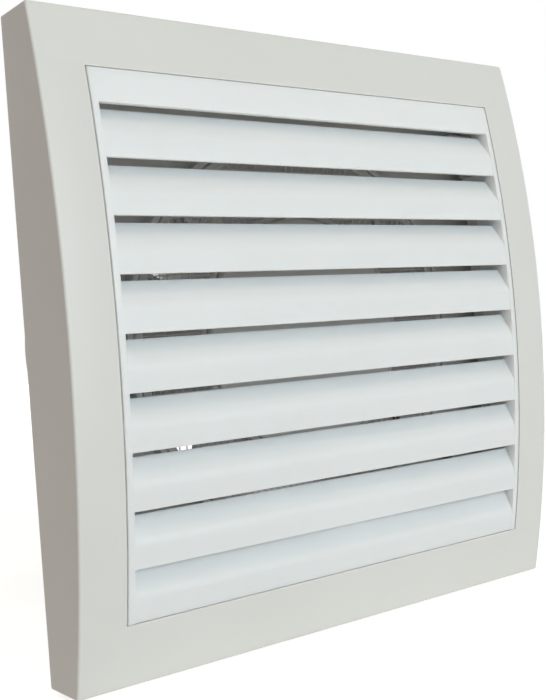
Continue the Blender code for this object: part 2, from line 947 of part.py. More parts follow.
def arm_web_piece(name, angle):
    """The arm's deep web, tapering from the cup towards the foot."""
    inner, outer = cup_radius - bury, foot_place - foot_radius - clearance
    outline = [
        (inner, plate_front_y + arm_flange_wall / 2),
        (outer, plate_front_y + arm_flange_wall / 2),
        (outer, arm_tip_back_y),
        (inner, arm_back_y),
    ]
    piece = extruded(name, [outline], arm_web, Matrix.Identity(4))
    piece.data.transform(about_axis(angle))
    return piece


def stator_bore_outline():
    """The bore and slots inside the laminations, with ears round the bolts."""
    bore = rotor_radius + air_gap
    shoe = bore + shoe_depth
    yoke = yoke_inner
    half = pole_width / 2
    points = []
    for k in range(pole_count):
        middle = math.tau * k / pole_count
        for share in bore_arc_shares:
            points.append(at_angle(bore, middle + share * shoe_spread))
        points.append(at_angle(shoe, middle + shoe_spread * shoe_corner_share))
        points.append(at_angle(shoe, middle + math.asin(half / shoe)))
        points.append(at_angle(yoke, middle + math.asin(half / yoke)))
        gap = math.tau / pole_count / 2
        ear = gap - bolt_ear_spread
        points.append(at_angle(yoke, middle + ear * yoke_corner_share))
        points.append(at_angle(bolt_ear_place, middle + ear))
        points.append(at_angle(bolt_ear_place, middle + gap + bolt_ear_spread))
        points.append(at_angle(yoke, middle + 2 * gap - ear * yoke_corner_share))
        points.append(at_angle(yoke, middle + 2 * gap - math.asin(half / yoke)))
        points.append(at_angle(shoe, middle + 2 * gap - math.asin(half / shoe)))
        points.append(at_angle(shoe, middle + 2 * gap - shoe_spread * shoe_corner_share))
    return points


def circle_outline(radius, steps, centre=(0, 0)):
    return [
        (centre[0] + radius * math.cos(math.tau * i / steps),
         centre[1] + radius * math.sin(math.tau * i / steps))
        for i in range(steps)
    ]


def build_stator(parent):
    """Lamination stack with four poles, drilled for the motor screws."""
    outlines = [circle_outline(stator_radius, round_steps), stator_bore_outline()]
    outlines += [
        circle_outline(bolt_hole, screw_steps, at_angle(bolt_place, angle))
        for angle in quarter_turns()
    ]
    stack = extruded("stack", outlines, stack_length, outline_xz)
    stack.data.transform(Matrix.Translation((0, stator_middle_y, 0)))
    return finished(stack, "stator_core", "lamination_steel", parent)


def rounded_rectangle(half_width, half_height, corner, steps=2):
    """A rectangle with round corners, as points about the origin."""
    points = []
    for quarter, (x, z) in enumerate(((1, 1), (-1, 1), (-1, -1), (1, -1))):
        for i in range(steps + 1):
            angle = math.pi / 2 * (quarter + i / steps)
            points.append(
                (
                    x * (half_width - corner) + corner * math.cos(angle),
                    z * (half_height - corner) + corner * math.sin(angle),
                )
            )
    return points


def pole_matrix(radius):
    """The outline's width across a pole, its height along the stack, at a radius."""
    turn = Matrix(((0, 0, 1, 0), (0, 1, 0, 0), (-1, 0, 0, 0), (0, 0, 0, 1)))
    return Matrix.Translation((radius, stator_middle_y, 0)) @ turn


def build_coils(parent):
    """A flanged bobbin and its winding on each pole."""
    inner, outer = coil_inner, coil_outer
    hole_width = pole_width / 2 + clearance
    hole_height = stack_length / 2 + clearance
    tube_width = hole_width + bobbin_wall
    tube_height = hole_height + bobbin_wall
    hole = [
        (-hole_width, -hole_height), (hole_width, -hole_height),
        (hole_width, hole_height), (-hole_width, hole_height),
    ]
    tube = [
        (-tube_width, -tube_height), (tube_width, -tube_height),
        (tube_width, tube_height), (-tube_width, tube_height),
    ]
    middle = pole_matrix((inner + outer) / 2)
    bobbin = extruded("tube", [tube], outer - inner - bobbin_flange_wall, middle)
    flange_outline = rounded_rectangle(bobbin_flange, bobbin_height / 2, winding_round, 1)
    flanges = [
        extruded(f"flange_{i}", [flange_outline], bobbin_flange_wall, pole_matrix(radius))
        for i, radius in enumerate((inner + bobbin_flange_wall / 2, outer - bobbin_flange_wall / 2))
    ]
    joined(bobbin, *flanges)
    cut(bobbin, extruded("pole_way", [hole], 2 * (outer - inner), middle))
    winding_width = tube_width + clearance
    winding_height = tube_height + clearance
    winding_outlines = [
        rounded_rectangle(winding_width + winding_wall, winding_height + winding_wall,
                          winding_wall),
        rounded_rectangle(winding_width, winding_height, winding_round / 4, 1),
    ]
    coil_length = outer - inner - 2 * (bobbin_flange_wall + clearance)
    winding = extruded("coil", winding_outlines, coil_length, middle)
    bobbin = finished(baked(bobbin), "coil_bobbin_1", "bobbin_nylon", parent)
    winding = finished(winding, "coil_winding_1", "winding_copper", parent)
    for k in range(1, pole_count):
        turn = about_axis(math.tau * k / pole_count)
        copy_of(bobbin, f"coil_bobbin_{k + 1}", turn, parent)
        copy_of(winding, f"coil_winding_{k + 1}", turn, parent)


def build_rotor(parent):
    """Squirrel-cage rotor: the stack between two end rings, on the shaft."""
    ring_outer = rotor_radius - clearance
    ring_inner = ring_outer - rotor_ring
    front, back = stator_front_y, stator_back_y
    bore = shaft_radius + clearance
    body = turned(
        "rotor_body",
        [
            (bore, front),
            (ring_inner, front),
            (ring_inner, front - rotor_ring_length),
            (ring_outer, front - rotor_ring_length),
            (ring_outer, front),
            (rotor_radius, front),
            (rotor_radius, back),
            (ring_outer, back),
            (ring_outer, back + rotor_ring_length),
            (ring_inner, back + rotor_ring_length),
            (ring_inner, back),
            (bore, back),
        ],
        rotor_steps,
    )
    finished(body, "rotor_core", "rotor_aluminium", parent)
    start = front_bearing_y
    shaft = turned(
        "shaft_body",
        [
            (0, start),
            (shaft_radius - shaft_chamfer, start),
            (shaft_radius, start + shaft_chamfer),
            (shaft_radius, shaft_end_y - shaft_chamfer),
            (shaft_radius - shaft_chamfer, shaft_end_y),
            (0, shaft_end_y),
        ],
        small_steps,
    )
    finished(shaft, "motor_shaft", "shaft_steel", parent)


def build_bearings(parent):
    """Two shielded ball bearings, each one ring with its shields set back."""
    bore = shaft_radius + clearance
    for name, start in (("front_bearing", front_bearing_y), ("rear_bearing", rear_bearing_y)):
        end = start + bearing_length
        inner_land = bore + bearing_land
        outer_land = bearing_radius - bearing_land
        body = turned(
            name + "_body",
            [
                (bore, start),
                (inner_land, start),
                (inner_land, start + bearing_groove),
                (outer_land, start + bearing_groove),
                (outer_land, start),
                (bearing_radius, start),
                (bearing_radius, end),
                (outer_land, end),
                (outer_land, end - bearing_groove),
                (inner_land, end - bearing_groove),
                (inner_land, end),
                (bore, end),
            ],
            small_steps,
        )
        finished(body, name, "bearing_steel", parent)


def build_end_cover(parent):
    """Plate that closes the motor cup, with the rear bearing's seat and four bolt posts."""
    lip_radius = cup_bore - clearance
    plate = turned(
        "end_plate",
        [
            (shaft_radius + 3 * clearance, end_cover_back_y),
            (shaft_radius + 3 * clearance, end_cover_back_y + cover_lip),
            (bearing_seat + seat_wall, end_cover_back_y + cover_lip),
            (bearing_seat + seat_wall, end_cover_back_y),
            (cup_radius, end_cover_back_y),
            (cup_radius, end_cover_y),
            (lip_radius, end_cover_y),
            (lip_radius, end_cover_y - cover_lip),
            (lip_radius - cover_lip, end_cover_y - cover_lip),
            (lip_radius - cover_lip, end_cover_y),
            (bearing_seat + seat_wall, end_cover_y),
            (bearing_seat + seat_wall, rear_bearing_y),
            (bearing_seat, rear_bearing_y),
            (bearing_seat, end_cover_back_y),
        ],
    )
    posts = [
        rod(f"post_{i}", *at_angle(bolt_place, angle), bolt_boss_radius - clearance,
            stator_back_y + clearance, end_cover_y + bury)
        for i, angle in enumerate(quarter_turns())
    ]
    joined(plate, *posts)
    holes = [
        rod(f"post_hole_{i}", *at_angle(bolt_place, angle), bolt_hole,
            stator_back_y - overrun, end_cover_back_y + overrun)
        for i, angle in enumerate(quarter_turns())
    ]
    cut(plate, *holes)
    return finished(plate, "motor_end_cover", "housing_white", parent)


def screw_shape(name, radius, length, head_radius, head):
    """A slotted pan-head screw along +Y, its head's seat at the origin."""
    crown = head_radius * screw_crown_share
    body = turned(
        name,
        [
            (0, -head),
            (crown, -head),
            (head_radius, -head * screw_edge_share),
            (head_radius, 0),
            (radius, 0),
            (radius, length),
            (0, length),
        ],
        screw_steps,
    )
    slot = box(
        name + "_slot",
        (-head_radius, -head - overrun, -driver_slot / 2),
        (head_radius, -head + driver_slot_depth, driver_slot / 2),
    )
    cut(body, slot)
    return baked(body)


def build_screws(parent):
    """Fasteners: carrier, cover, motor, terminal and terminal cover screws."""
    fixing = screw_shape("fixing", fixing_radius, fixing_length, fixing_head_radius, fixing_head)
    carrier_y = plate_front_y - clearance
    places = [(f"carrier_screw_{i + 1}", *at_angle(foot_place, angle), carrier_y)
              for i, angle in enumerate(quarter_turns())]
    places += [(f"cover_screw_{i + 1}", x, z, lug_front_y - clearance)
               for i, (x, z) in enumerate(lug_places)]
    place_screws(fixing, places, parent)

    bolt_seat_y = end_cover_back_y + clearance
    bolt_length = bolt_seat_y - cup_inner_y - 2 * clearance
    bolt = screw_shape("bolt", bolt_radius, bolt_length, bolt_head_radius, bolt_head)
    bolt.data.transform(Matrix.Rotation(math.pi, 4, "Z"))
    places = [(f"motor_screw_{i + 1}", *at_angle(bolt_place, angle), bolt_seat_y)
              for i, angle in enumerate(quarter_turns())]
    place_screws(bolt, places, parent)

    tab_front_y = terminal_boss_front() - clearance - terminal_cover_wall
    tab_length = plate_front_y - tab_front_y - 2 * clearance
    tab = screw_shape("tab", bolt_radius, tab_length, bolt_head_radius, bolt_head)
    place_screws(tab, [("terminal_cover_screw", terminal_boss_x, block_z,
                        tab_front_y - clearance)], parent)

    clamp_length = insert_y - insert_radius - clearance - terminal_head_y()
    clamp = screw_shape("clamp", terminal_screw_radius, clamp_length, terminal_head_radius,
                        terminal_head_radius / 2)
    places = []
    for pole, x in enumerate(pole_places()):
        for row, up in enumerate((-1, 1)):
            z = block_z + up * terminal_screw_pitch / 2
            places.append((f"terminal_screw_{2 * pole + row + 1}", x, z, terminal_head_y()))
    place_screws(clamp, places, parent)


def place_screws(shape, places, parent):
    """Copies one screw shape to each named (x, z, seat y)."""
    first = None
    for name, x, z, seat_y in places:
        place = Matrix.Translation((x, seat_y, z))
        if first is None:
            first = finished(shape, name, "screw_steel", parent)
            first.matrix_world = place
        else:
            copy_of(first, name, place, parent)


def terminal_head_y():
    """The seats of the terminal screws' heads, sunk in their wells."""
    return block_front_y + terminal_head_radius


def pole_places():
    return block_x - pole_pitch / 2, block_x + pole_pitch / 2


def rod_z(name, x, y, radius, z_low, z_high, steps=None):
    """A cylinder along Z."""
    work = bmesh.new()
    place = Matrix.Translation((x, y, (z_low + z_high) / 2))
    bmesh.ops.create_cone(
        work, cap_ends=True, segments=steps or rod_steps, radius1=radius,
        radius2=radius, depth=z_high - z_low, matrix=place,
    )
    return as_object(name, work)


def build_terminals(parent):
    """Two-pole terminal block with brass inserts, under its clip-on cover."""
    half = block_width / 2
    block = box(
        "block",
        (block_x - half, block_front_y, block_z - block_length / 2),
        (block_x + half, block_back_y, block_top_z),
    )
    cuts = []
    for pole, x in enumerate(pole_places()):
        cuts.append(
            rod_z(f"insert_way_{pole}", x, insert_y, insert_radius + clearance,
                  block_z - block_length, block_z + block_length)
        )
        for up in (-1, 1):
            z = block_z + up * terminal_screw_pitch / 2
            cuts.append(
                rod(f"well_{pole}_{up}", x, z, terminal_well_radius, block_front_y - overrun,
                    insert_y)
            )
        insert = rod_z(f"insert_body_{pole}", x, insert_y, insert_radius,
                       block_z - insert_length / 2, block_z + insert_length / 2, small_steps)
        bore = rod_z(f"insert_bore_{pole}", x, insert_y, insert_bore,
                     block_z - insert_length, block_z + insert_length, small_steps)
        cut(insert, bore)
        finished(insert, f"terminal_insert_{pole + 1}", "terminal_brass", parent)
    notch = box(
        "block_notch",
        (block_x - terminal_cover_gap, block_front_y - overrun, block_z - block_length),
        (block_x + terminal_cover_gap, block_front_y + terminal_head_radius,
         block_z + block_length),
    )
    cut(block, *cuts, notch)
    finished(block, "terminal_block", "terminal_plastic", parent)
    build_terminal_cover(parent)


def terminal_cover_corners():
    """The outer corners of the terminal block's cover."""
    margin = terminal_cover_margin
    low = Vector((block_x - block_width / 2, block_front_y, block_z - block_length / 2))
    high = Vector((block_x + block_width / 2, block_back_y - margin, block_top_z))
    return low - Vector((margin,) * 3), high + Vector((margin,) * 3)


def build_terminal_cover(parent):
    """Open-backed cap over the block, with a screw tab and two lead notches."""
    wall = terminal_cover_wall
    outer_low, outer_high = terminal_cover_corners()
    inner_low = outer_low + Vector((wall,) * 3)
    inner_high = outer_high - Vector((wall, -overrun, wall))
    cap = box("cap", outer_low, outer_high)
    tab_y = terminal_boss_front() - clearance
    tab = box(
        "cap_tab",
        (terminal_boss_x - terminal_tab / 2, tab_y - wall, block_z - terminal_tab / 2),
        (inner_low.x - wall / 2, tab_y, block_z + terminal_tab / 2),
    )
    joined(cap, tab)
    cuts = [
        box("cap_hollow", inner_low, inner_high),
        rod("tab_hole", terminal_boss_x, block_z, bolt_hole, tab_y - wall - overrun,
            tab_y + overrun),
    ]
    for pole, x in enumerate(pole_places()):
        half = lead_radius + 2 * clearance
        cuts.append(
            box(
                f"lead_way_{pole}",
                (x - half, insert_y - half, inner_high.z - wall),
                (x + half, block_back_y + overrun, outer_high.z + overrun),
            )
        )
    cut(cap, *cuts)
    finished(cap, "terminal_cover", "cover_white", parent)


def build_grommet(parent):
    """Rubber grommet in the plate's cable entry, flush behind."""
    back = -grommet_flange_wall + clearance
    front = plate_front_y - clearance
    body = turned(
        "grommet_body",
        [
            (grommet_bore, front - grommet_flange_wall),
            (grommet_flange, front - grommet_flange_wall),
            (grommet_flange, front),
            (grommet_neck, front),
            (grommet_neck, back),
            (grommet_flange, back),
            (grommet_flange, 0),
            (grommet_bore, 0),
        ],
        small_steps,
    )
    grommet = finished(body, "cable_grommet", "grommet_rubber", parent)
    grommet.matrix_world = Matrix.Translation((grommet_x, 0, grommet_z))


def blade_sheet(work, angle):
    """One twisted blade as a sheet, bent from a flat grid."""
    grid = bmesh.ops.create_grid(
        work, x_segments=blade_steps_out, y_segments=blade_steps_across, size=0.5
    )
    root = hub_radius - hub_wall / 2
    for vert in grid["verts"]:
        out = vert.co.x + 0.5
        chordwise = vert.co.y
        radius = root + (blade_tip - root) * out
        chord = blade_root_chord + (blade_tip_chord - blade_root_chord) * out
        pitch = blade_root_pitch + (blade_tip_pitch - blade_root_pitch) * out
        camber = chord * blade_camber_share * (1 - 4 * chordwise**2)
        along_arc = chordwise * chord * math.cos(pitch) - camber * math.sin(pitch)
        along_duct = chordwise * chord * math.sin(pitch) + camber * math.cos(pitch)
        turn = angle + blade_sweep * out + along_arc / radius
        x, z = at_angle(radius, turn)
        vert.co = (x, blade_middle_y + along_duct, z)


def build_impeller(parent):
    """Hub cup with seven twisted blades, inner ribs and a bored boss."""
    dome = hub_back_y + hub_dome
    hub = turned(
        "hub",
        [
            (hub_bore, dome),
            (hub_boss_radius, dome),
            (hub_radius * hub_crown_share, hub_back_y + hub_dome * hub_crown_rise_share),
            (hub_radius * hub_shoulder_share, hub_back_y),
            (hub_radius, hub_back_y - hub_dome),
            (hub_radius, hub_front_y),
            (hub_radius - hub_wall, hub_front_y),
            (hub_radius - hub_wall, hub_back_y - hub_wall - hub_dome / 2),
            (hub_boss_radius, hub_back_y - hub_wall),
            (hub_boss_radius, hub_boss_front_y),
            (hub_bore, hub_boss_front_y),
        ],
    )
    work = bmesh.new()
    for k in range(blade_count):
        blade_sheet(work, math.tau * k / blade_count)
    blades = as_object("blades", work)
    solidify = blades.modifiers.new("thickness", "SOLIDIFY")
    solidify.thickness = blade_wall
    solidify.offset = 0
    solidify.use_even_offset = True
    blades = baked(blades)
    ribs = [
        along_line(f"hub_rib_{k}", math.tau * (k + 0.5) / blade_count,
                   hub_boss_radius - bury, hub_radius - hub_wall / 2, hub_rib_wall / 2,
                   hub_boss_front_y + bury, hub_back_y - hub_wall / 2)
        for k in range(blade_count)
    ]
    joined(hub, blades, *ribs)
    finished(hub, "impeller", "impeller_grey", parent)
    clip_front = dome + clearance
    clip = turned(
        "clip_body",
        [
            (hub_bore, clip_front),
            (clip_radius, clip_front),
            (clip_radius, clip_front + clip_wall / 2),
            (hub_bore + clip_wall, clip_front + clip_wall),
            (hub_bore, clip_front + clip_wall),
        ],
        small_steps,
    )
    finished(clip, "impeller_clip", "screw_steel", parent)


def smooth_route(points, spacing):
    """Points about spacing apart on a smooth curve through the route's own points."""
    points = [Vector(point) for point in points]
    ends = [2 * points[0] - points[1], *points, 2 * points[-1] - points[-2]]
    route = []
    for i in range(len(points) - 1):
        before, start, end, after = ends[i : i + 4]
        steps = max(1, round((end - start).length / spacing))
        for k in range(steps):
            t = k / steps
            route.append(
                start
                + (end - before) * (t / 2)
                + (2 * before - 5 * start + 4 * end - after) * (t**2 / 2)
                + (3 * start - before - 3 * end + after) * (t**3 / 2)
            )
    route.append(points[-1])
    return route


def build_leads(parent):
    """The motor's two leads, from the coils along an arm to the terminal block."""
    diagonal = math.radians(-45)

    def beside(radius, offset, y):
        x, z = at_angle(radius, diagonal)
        return (x - offset * math.sin(diagonal), y, z + offset * math.cos(diagonal))

    coil_y = stator_middle_y - bobbin_height / 2 - clearance - lead_radius
    reach = coil_outer - bobbin_flange_wall / 2
    side_place = bobbin_flange - lead_radius
    coil_corners = {1: (reach, coil_y, -side_place), -1: (side_place, coil_y, -reach)}
    lead_end_z = block_z + insert_length / 2 - 2 * insert_bore
    routes = {
        "lead_live": (1, "lead_brown", pole_places()[1]),
        "lead_neutral": (-1, "lead_blue", pole_places()[0]),
    }
    for name, (side, finish, pole_x) in routes.items():
        route = [
            coil_corners[side],
            beside(cup_bore - 2 * lead_radius, side * lead_offset, lead_plane_y),
            beside(cup_radius, side * lead_offset, lead_plane_y),
            beside(foot_place, side * lead_offset, lead_plane_y),
            beside(net_outer + screen_guard_wall, side * lead_offset, lead_plane_y),
            (pole_x, insert_y, block_top_z + lead_straight),
            (pole_x, insert_y, block_top_z),
            (pole_x, insert_y, lead_end_z),
        ]
        curve = bpy.data.curves.new(name + "_curve", "CURVE")
        curve.dimensions = "3D"
        curve.bevel_depth = lead_radius
        curve.bevel_resolution = 2
        curve.use_fill_caps = True
        points = smooth_route(route, lead_spacing)
        spline = curve.splines.new("POLY")
        spline.points.add(len(points) - 1)
        for point, place in zip(spline.points, points):
            point.co = (*place, 1)
        lead = bpy.data.objects.new(name + "_curve", curve)
        construction.objects.link(lead)
        finished(baked(lead), name, finish, parent)


def build():
    """Builds every part under the empty that carries it."""
    casing = axis_empty("casing_frame")
    rotor_axis = axis_empty("rotor_axis")
    louvre_slide = axis_empty("louvre_slide")
    build_front_cover(casing)
    build_louvre(louvre_slide)
    build_housing(casing)
    build_screen(casing)
    build_carrier(casing)
    build_stator(casing)
    build_coils(casing)
    build_bearings(casing)
    build_end_cover(casing)
    build_rotor(rotor_axis)
    build_impeller(rotor_axis)
    build_screws(casing)
    build_terminals(casing)
    build_grommet(casing)
    build_leads(casing)


clear_scene()
parts = new_collection("bathroom_exhaust_fan")
construction = new_collection("cutters")
build()
for part in parts.objects:
    switch_on(part)
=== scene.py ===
"""The bathroom exhaust fan: its visible pieces, finishes, light and camera.

Metres, +Z up, +X to the right seen from the room. The wall is the plane y = 0, the room is
at -Y and the duct runs towards +Y. Each sub-assembly is a class with its sizes as fields.
"""

import json
import logging
import math
from abc import ABC, abstractmethod
from collections.abc import Callable, Iterator, Sequence
from contextlib import contextmanager
from dataclasses import dataclass, field
from enum import Enum
from itertools import product

import bmesh
import bpy
from mathutils import Matrix, Vector

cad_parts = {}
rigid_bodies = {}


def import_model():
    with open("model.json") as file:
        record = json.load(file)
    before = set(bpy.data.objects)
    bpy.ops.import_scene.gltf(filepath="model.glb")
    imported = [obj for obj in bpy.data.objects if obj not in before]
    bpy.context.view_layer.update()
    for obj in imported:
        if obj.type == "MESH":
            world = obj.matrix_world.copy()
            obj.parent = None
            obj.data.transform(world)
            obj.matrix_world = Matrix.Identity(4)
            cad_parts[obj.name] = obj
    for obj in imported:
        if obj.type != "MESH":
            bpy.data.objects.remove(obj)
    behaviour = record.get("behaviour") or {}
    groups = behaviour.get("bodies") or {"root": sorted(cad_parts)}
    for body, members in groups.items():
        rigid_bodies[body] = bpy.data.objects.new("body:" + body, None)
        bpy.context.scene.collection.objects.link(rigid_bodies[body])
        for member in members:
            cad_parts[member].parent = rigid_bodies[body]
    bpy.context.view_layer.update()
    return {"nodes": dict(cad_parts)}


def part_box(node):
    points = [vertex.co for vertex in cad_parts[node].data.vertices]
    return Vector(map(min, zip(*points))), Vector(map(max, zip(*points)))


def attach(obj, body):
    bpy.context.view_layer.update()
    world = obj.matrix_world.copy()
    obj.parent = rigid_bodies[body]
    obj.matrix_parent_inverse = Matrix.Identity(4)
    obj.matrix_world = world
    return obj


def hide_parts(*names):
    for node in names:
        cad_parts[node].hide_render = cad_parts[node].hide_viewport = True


log = logging.getLogger("exhaust_fan")

for leftover in list(bpy.data.objects):
    bpy.data.objects.remove(leftover, do_unlink=True)
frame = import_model()

CLEARANCE = 0.0003
OVERRUN = 0.002
BURY = 0.0008
WELD = 1e-7
NEAR = 2e-5
SHARP = math.radians(40)
CREASE = math.radians(28)
STEEP = math.radians(60)
FEW_STEPS = 2
ROUND_STEPS = 3
ROD_STEPS = 40
BOW_STEPS = 60
TURN_STEPS = 96
SMALL_STEPS = 64
FACING = 0.9
WHITE = (1.0, 1.0, 1.0)
UNSTRETCHED = (1.0, 1.0, 1.0)
SIDES = (-1, 1)
CORNERS = tuple(product(SIDES, repeat=2))

Point = Sequence[float]
Pair = tuple[float, float]
Triple = tuple[float, float, float]
Test = Callable[[object], bool]
Socket = bpy.types.NodeSocket


class Kind(Enum):
    """What a selection picks: its mode's name and its place in a bmesh."""

    VERT = "verts"
    EDGE = "edges"
    FACE = "faces"


class Operation(Enum):
    """How one shape is combined with others."""

    JOIN = "UNION"
    CUT = "DIFFERENCE"
    KEEP = "INTERSECT"


class Body(Enum):
    """The bodies that pieces move with."""

    CASING = "casing"
    ROTOR = "rotor"
    LOUVRE = "louvre"


@dataclass(frozen=True)
class Bow:
    """The cover's bowed front, a cylinder about a level axis in the wall's depth."""

    front_y: float = -0.02145
    half_face: float = 0.075
    rise: float = 0.00875

    @property
    def radius(self) -> float:
        """The bow's radius from its chord and rise."""
        return (self.half_face**2 + self.rise**2) / (2 * self.rise)

    @property
    def axis_y(self) -> float:
        """Where the bow's axis lies."""
        return self.front_y + self.radius

    def y(self, z: float, inset: float = 0.0) -> float:
        """The front's place at a height.

        Args:
            z: Height above the duct's axis.
            inset: Distance from the front towards the wall.

        Returns:
            The place along Y.
        """
        return self.axis_y - math.sqrt((self.radius - inset) ** 2 - z**2)


BOW = Bow()


def about_duct(angle: float) -> Matrix:
    """The turn about the duct's axis that takes +X towards +Z by an angle."""
    return Matrix.Rotation(-angle, 4, "Y")


def on_circle(radius: float, angle: float) -> Pair:
    """The (x, z) place at a radius and an angle about the duct's axis."""
    return radius * math.cos(angle), radius * math.sin(angle)


ARM_TURNS = [math.radians(45 + 90 * i) for i in range(4)]
LEADS_TURN = about_duct(math.radians(-45))
HALF_TURN = Matrix.Rotation(math.pi, 4, "Z")
ACROSS_TURN = Matrix.Rotation(-math.pi / 2, 4, "Z")


def middle_of(node: str) -> Pair:
    """The (x, z) middle of a CAD node."""
    low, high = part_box(node)
    return (low.x + high.x) / 2, (low.z + high.z) / 2


def rounding(steps: int) -> list[Pair]:
    """1 less the sine and 1 less the cosine at each step of a quarter turn."""
    turns = [math.radians(90 / steps * i) for i in range(steps + 1)]
    return [(1 - math.sin(turn), 1 - math.cos(turn)) for turn in turns]


def on_arms(radius: float) -> list[Pair]:
    """The four (x, z) places at a radius in line with the carrier's arms."""
    return [on_circle(radius, angle) for angle in ARM_TURNS]


def clear_bench() -> None:
    """Leaves object mode with nothing selected."""
    active = bpy.context.view_layer.objects.active
    if active is not None and active.mode != "OBJECT":
        bpy.ops.object.mode_set(mode="OBJECT")
    bpy.ops.object.select_all(action="DESELECT")


def take_all() -> None:
    """Selects the whole mesh, in edit mode."""
    bpy.ops.mesh.select_all(action="SELECT")


def draw_out(step: Point) -> None:
    """Extrudes the selection by a step, in edit mode."""
    bpy.ops.mesh.extrude_region_move(TRANSFORM_OT_translate={"value": step})


class Workpiece:
    """One mesh on the bench, shaped with Blender's own tools."""

    def __init__(self, body: bpy.types.Object, name: str) -> None:
        """Takes an object and names it.

        Args:
            body: The mesh object.
            name: Its name.
        """
        self.body = body
        body.name = name

    @classmethod
    def block(cls, name: str, low: Point, high: Point) -> "Workpiece":
        """A block between two corners.

        Args:
            name: The piece's name.
            low: One corner.
            high: The opposite corner.

        Returns:
            The block.
        """
        corners = [sorted(pair) for pair in zip(low, high)]
        middle = [(a + b) / 2 for a, b in corners]
        size = [b - a for a, b in corners]
        clear_bench()
        bpy.ops.mesh.primitive_cube_add(size=1, location=middle, scale=size)
        bpy.ops.object.transform_apply(location=True, rotation=True, scale=True)
        return cls(bpy.context.object, name)

    @classmethod
    def rods(cls, name: str, places: Sequence[Pair], radius: float, span: Pair,
             steps: int = ROD_STEPS) -> list["Workpiece"]:
        """Equal cylinders along Y.

        Args:
            name: The pieces' name.
            places: The (x, z) place of each.
            radius: Their radius.
            span: Their two ends along Y.
            steps: Their number of sides.

        Returns:
            The rods.
        """
        rods = []
        for x, z in places:
            clear_bench()
            bpy.ops.mesh.primitive_cone_add(
                vertices=steps, radius1=radius, radius2=radius, depth=span[1] - span[0],
                location=(x, sum(span) / 2, z), rotation=(-math.pi / 2, 0, 0))
            bpy.ops.object.transform_apply(location=True, rotation=True, scale=True)
            rods.append(cls(bpy.context.object, name))
        return rods

    @classmethod
    def path(cls, name: str, points: Sequence[Point], closed: bool = False) -> "Workpiece":
        """A chain of edges, drawn out point by point from one corner of a plane.

        Args:
            name: The piece's name.
            points: The chain's points.
            closed: Whether the last point joins the first.

        Returns:
            The chain.
        """
        clear_bench()
        bpy.ops.mesh.primitive_plane_add(size=1)
        piece = cls(bpy.context.object, name)
        with piece.bench():
            piece.pick(Kind.VERT, lambda vert: vert.index > 0)
            bpy.ops.mesh.delete(type="VERT")
            piece.pick(Kind.VERT, lambda vert: True)
            corner = bmesh.from_edit_mesh(piece.body.data).verts[:][0].co.copy()
            bpy.ops.transform.translate(value=Vector(points[0]) - corner)
            for before, after in zip(points, points[1:]):
                draw_out(Vector(after) - Vector(before))
            if closed:
                last = len(points) - 1
                piece.pick(Kind.VERT, lambda vert: vert.index in (0, last))
                bpy.ops.mesh.edge_face_add()
        return piece

    @classmethod
    def turned(cls, name: str, profile: Sequence[Pair],
               steps: int = TURN_STEPS) -> "Workpiece":
        """A body turned about the duct's axis.

        Args:
            name: The piece's name.
            profile: Its (radius, y) points; a ring's profile is closed by itself.
            steps: The number of steps of the turn.

        Returns:
            The turned body.
        """
        ring = min(radius for radius, y in profile) > 0
        piece = cls.path(name, [(radius, y, 0) for radius, y in profile], closed=ring)
        with piece.bench():
            take_all()
            bpy.ops.mesh.spin(steps=steps, angle=math.tau, center=(0, 0, 0), axis=(0, 1, 0))
            piece.weld()
        return piece

    @classmethod
    def ring(cls, name: str, radii: Pair, span: Pair, round_edge: float = 0.0,
             steps: int = TURN_STEPS) -> "Workpiece":
        """A plain ring about the duct's axis, with its front edges broken where asked.

        Args:
            name: The piece's name.
            radii: Its bore and outside radius.
            span: Its two ends along Y.
            round_edge: The size of the broken edges at its low end.
            steps: The number of steps of the turn.

        Returns:
            The ring.
        """
        (inner, outer), (low, high) = radii, span
        front = [(inner, low), (outer, low)] if not round_edge else [
            (inner, low + round_edge), (inner + round_edge, low), (outer - round_edge, low),
            (outer, low + round_edge)]
        return cls.turned(name, [(inner, high), *front, (outer, high)], steps)

    @classmethod
    def bowed(cls, name: str, x_span: Pair, z_span: Pair, back_y: float, inset: float = 0.0,
              steps: int = BOW_STEPS) -> "Workpiece":
        """A block with the cover's bowed front, flat behind.

        Args:
            name: The piece's name.
            x_span: Its two sides.
            z_span: Its bottom and top.
            back_y: Its flat back.
            inset: Distance of its front behind the cover's.
            steps: The number of facets of the bow.

        Returns:
            The block.
        """
        radius = BOW.radius - inset
        low, high = (math.asin(z / radius) for z in z_span)
        start_y = BOW.y(z_span[0], inset)
        piece = cls.path(name, [(x, start_y, z_span[0]) for x in x_span])
        with piece.bench():
            take_all()
            bpy.ops.mesh.spin(steps=steps, angle=high - low, center=(0, BOW.axis_y, 0),
                              axis=(1, 0, 0))
            take_all()
            draw_out((0, BURY, 0))
            bpy.ops.transform.resize(value=(1, 0, 1), center_override=(0, back_y, 0))
            piece.weld()
        return piece

    @contextmanager
    def bench(self) -> Iterator[None]:
        """Edit mode on this piece alone, with nothing selected."""
        self.pick_up()
        bpy.ops.object.mode_set(mode="EDIT")
        bpy.ops.mesh.select_all(action="DESELECT")
        yield
        bpy.ops.object.mode_set(mode="OBJECT")

    def pick(self, kind: Kind, test: Test) -> int:
        """Selects, in edit mode, the elements that pass a test.

        Args:
            kind: Vertices, edges or faces.
            test: Says whether an element is taken.

        Returns:
            How many were taken.
        """
        bpy.ops.mesh.select_mode(type=kind.name)
        bpy.ops.mesh.select_all(action="DESELECT")
        work = bmesh.from_edit_mesh(self.body.data)
        taken = [item for item in getattr(work, kind.value) if test(item)]
        for item in taken:
            item.select_set(True)
        work.select_flush_mode()
        bmesh.update_edit_mesh(self.body.data)
        return len(taken)

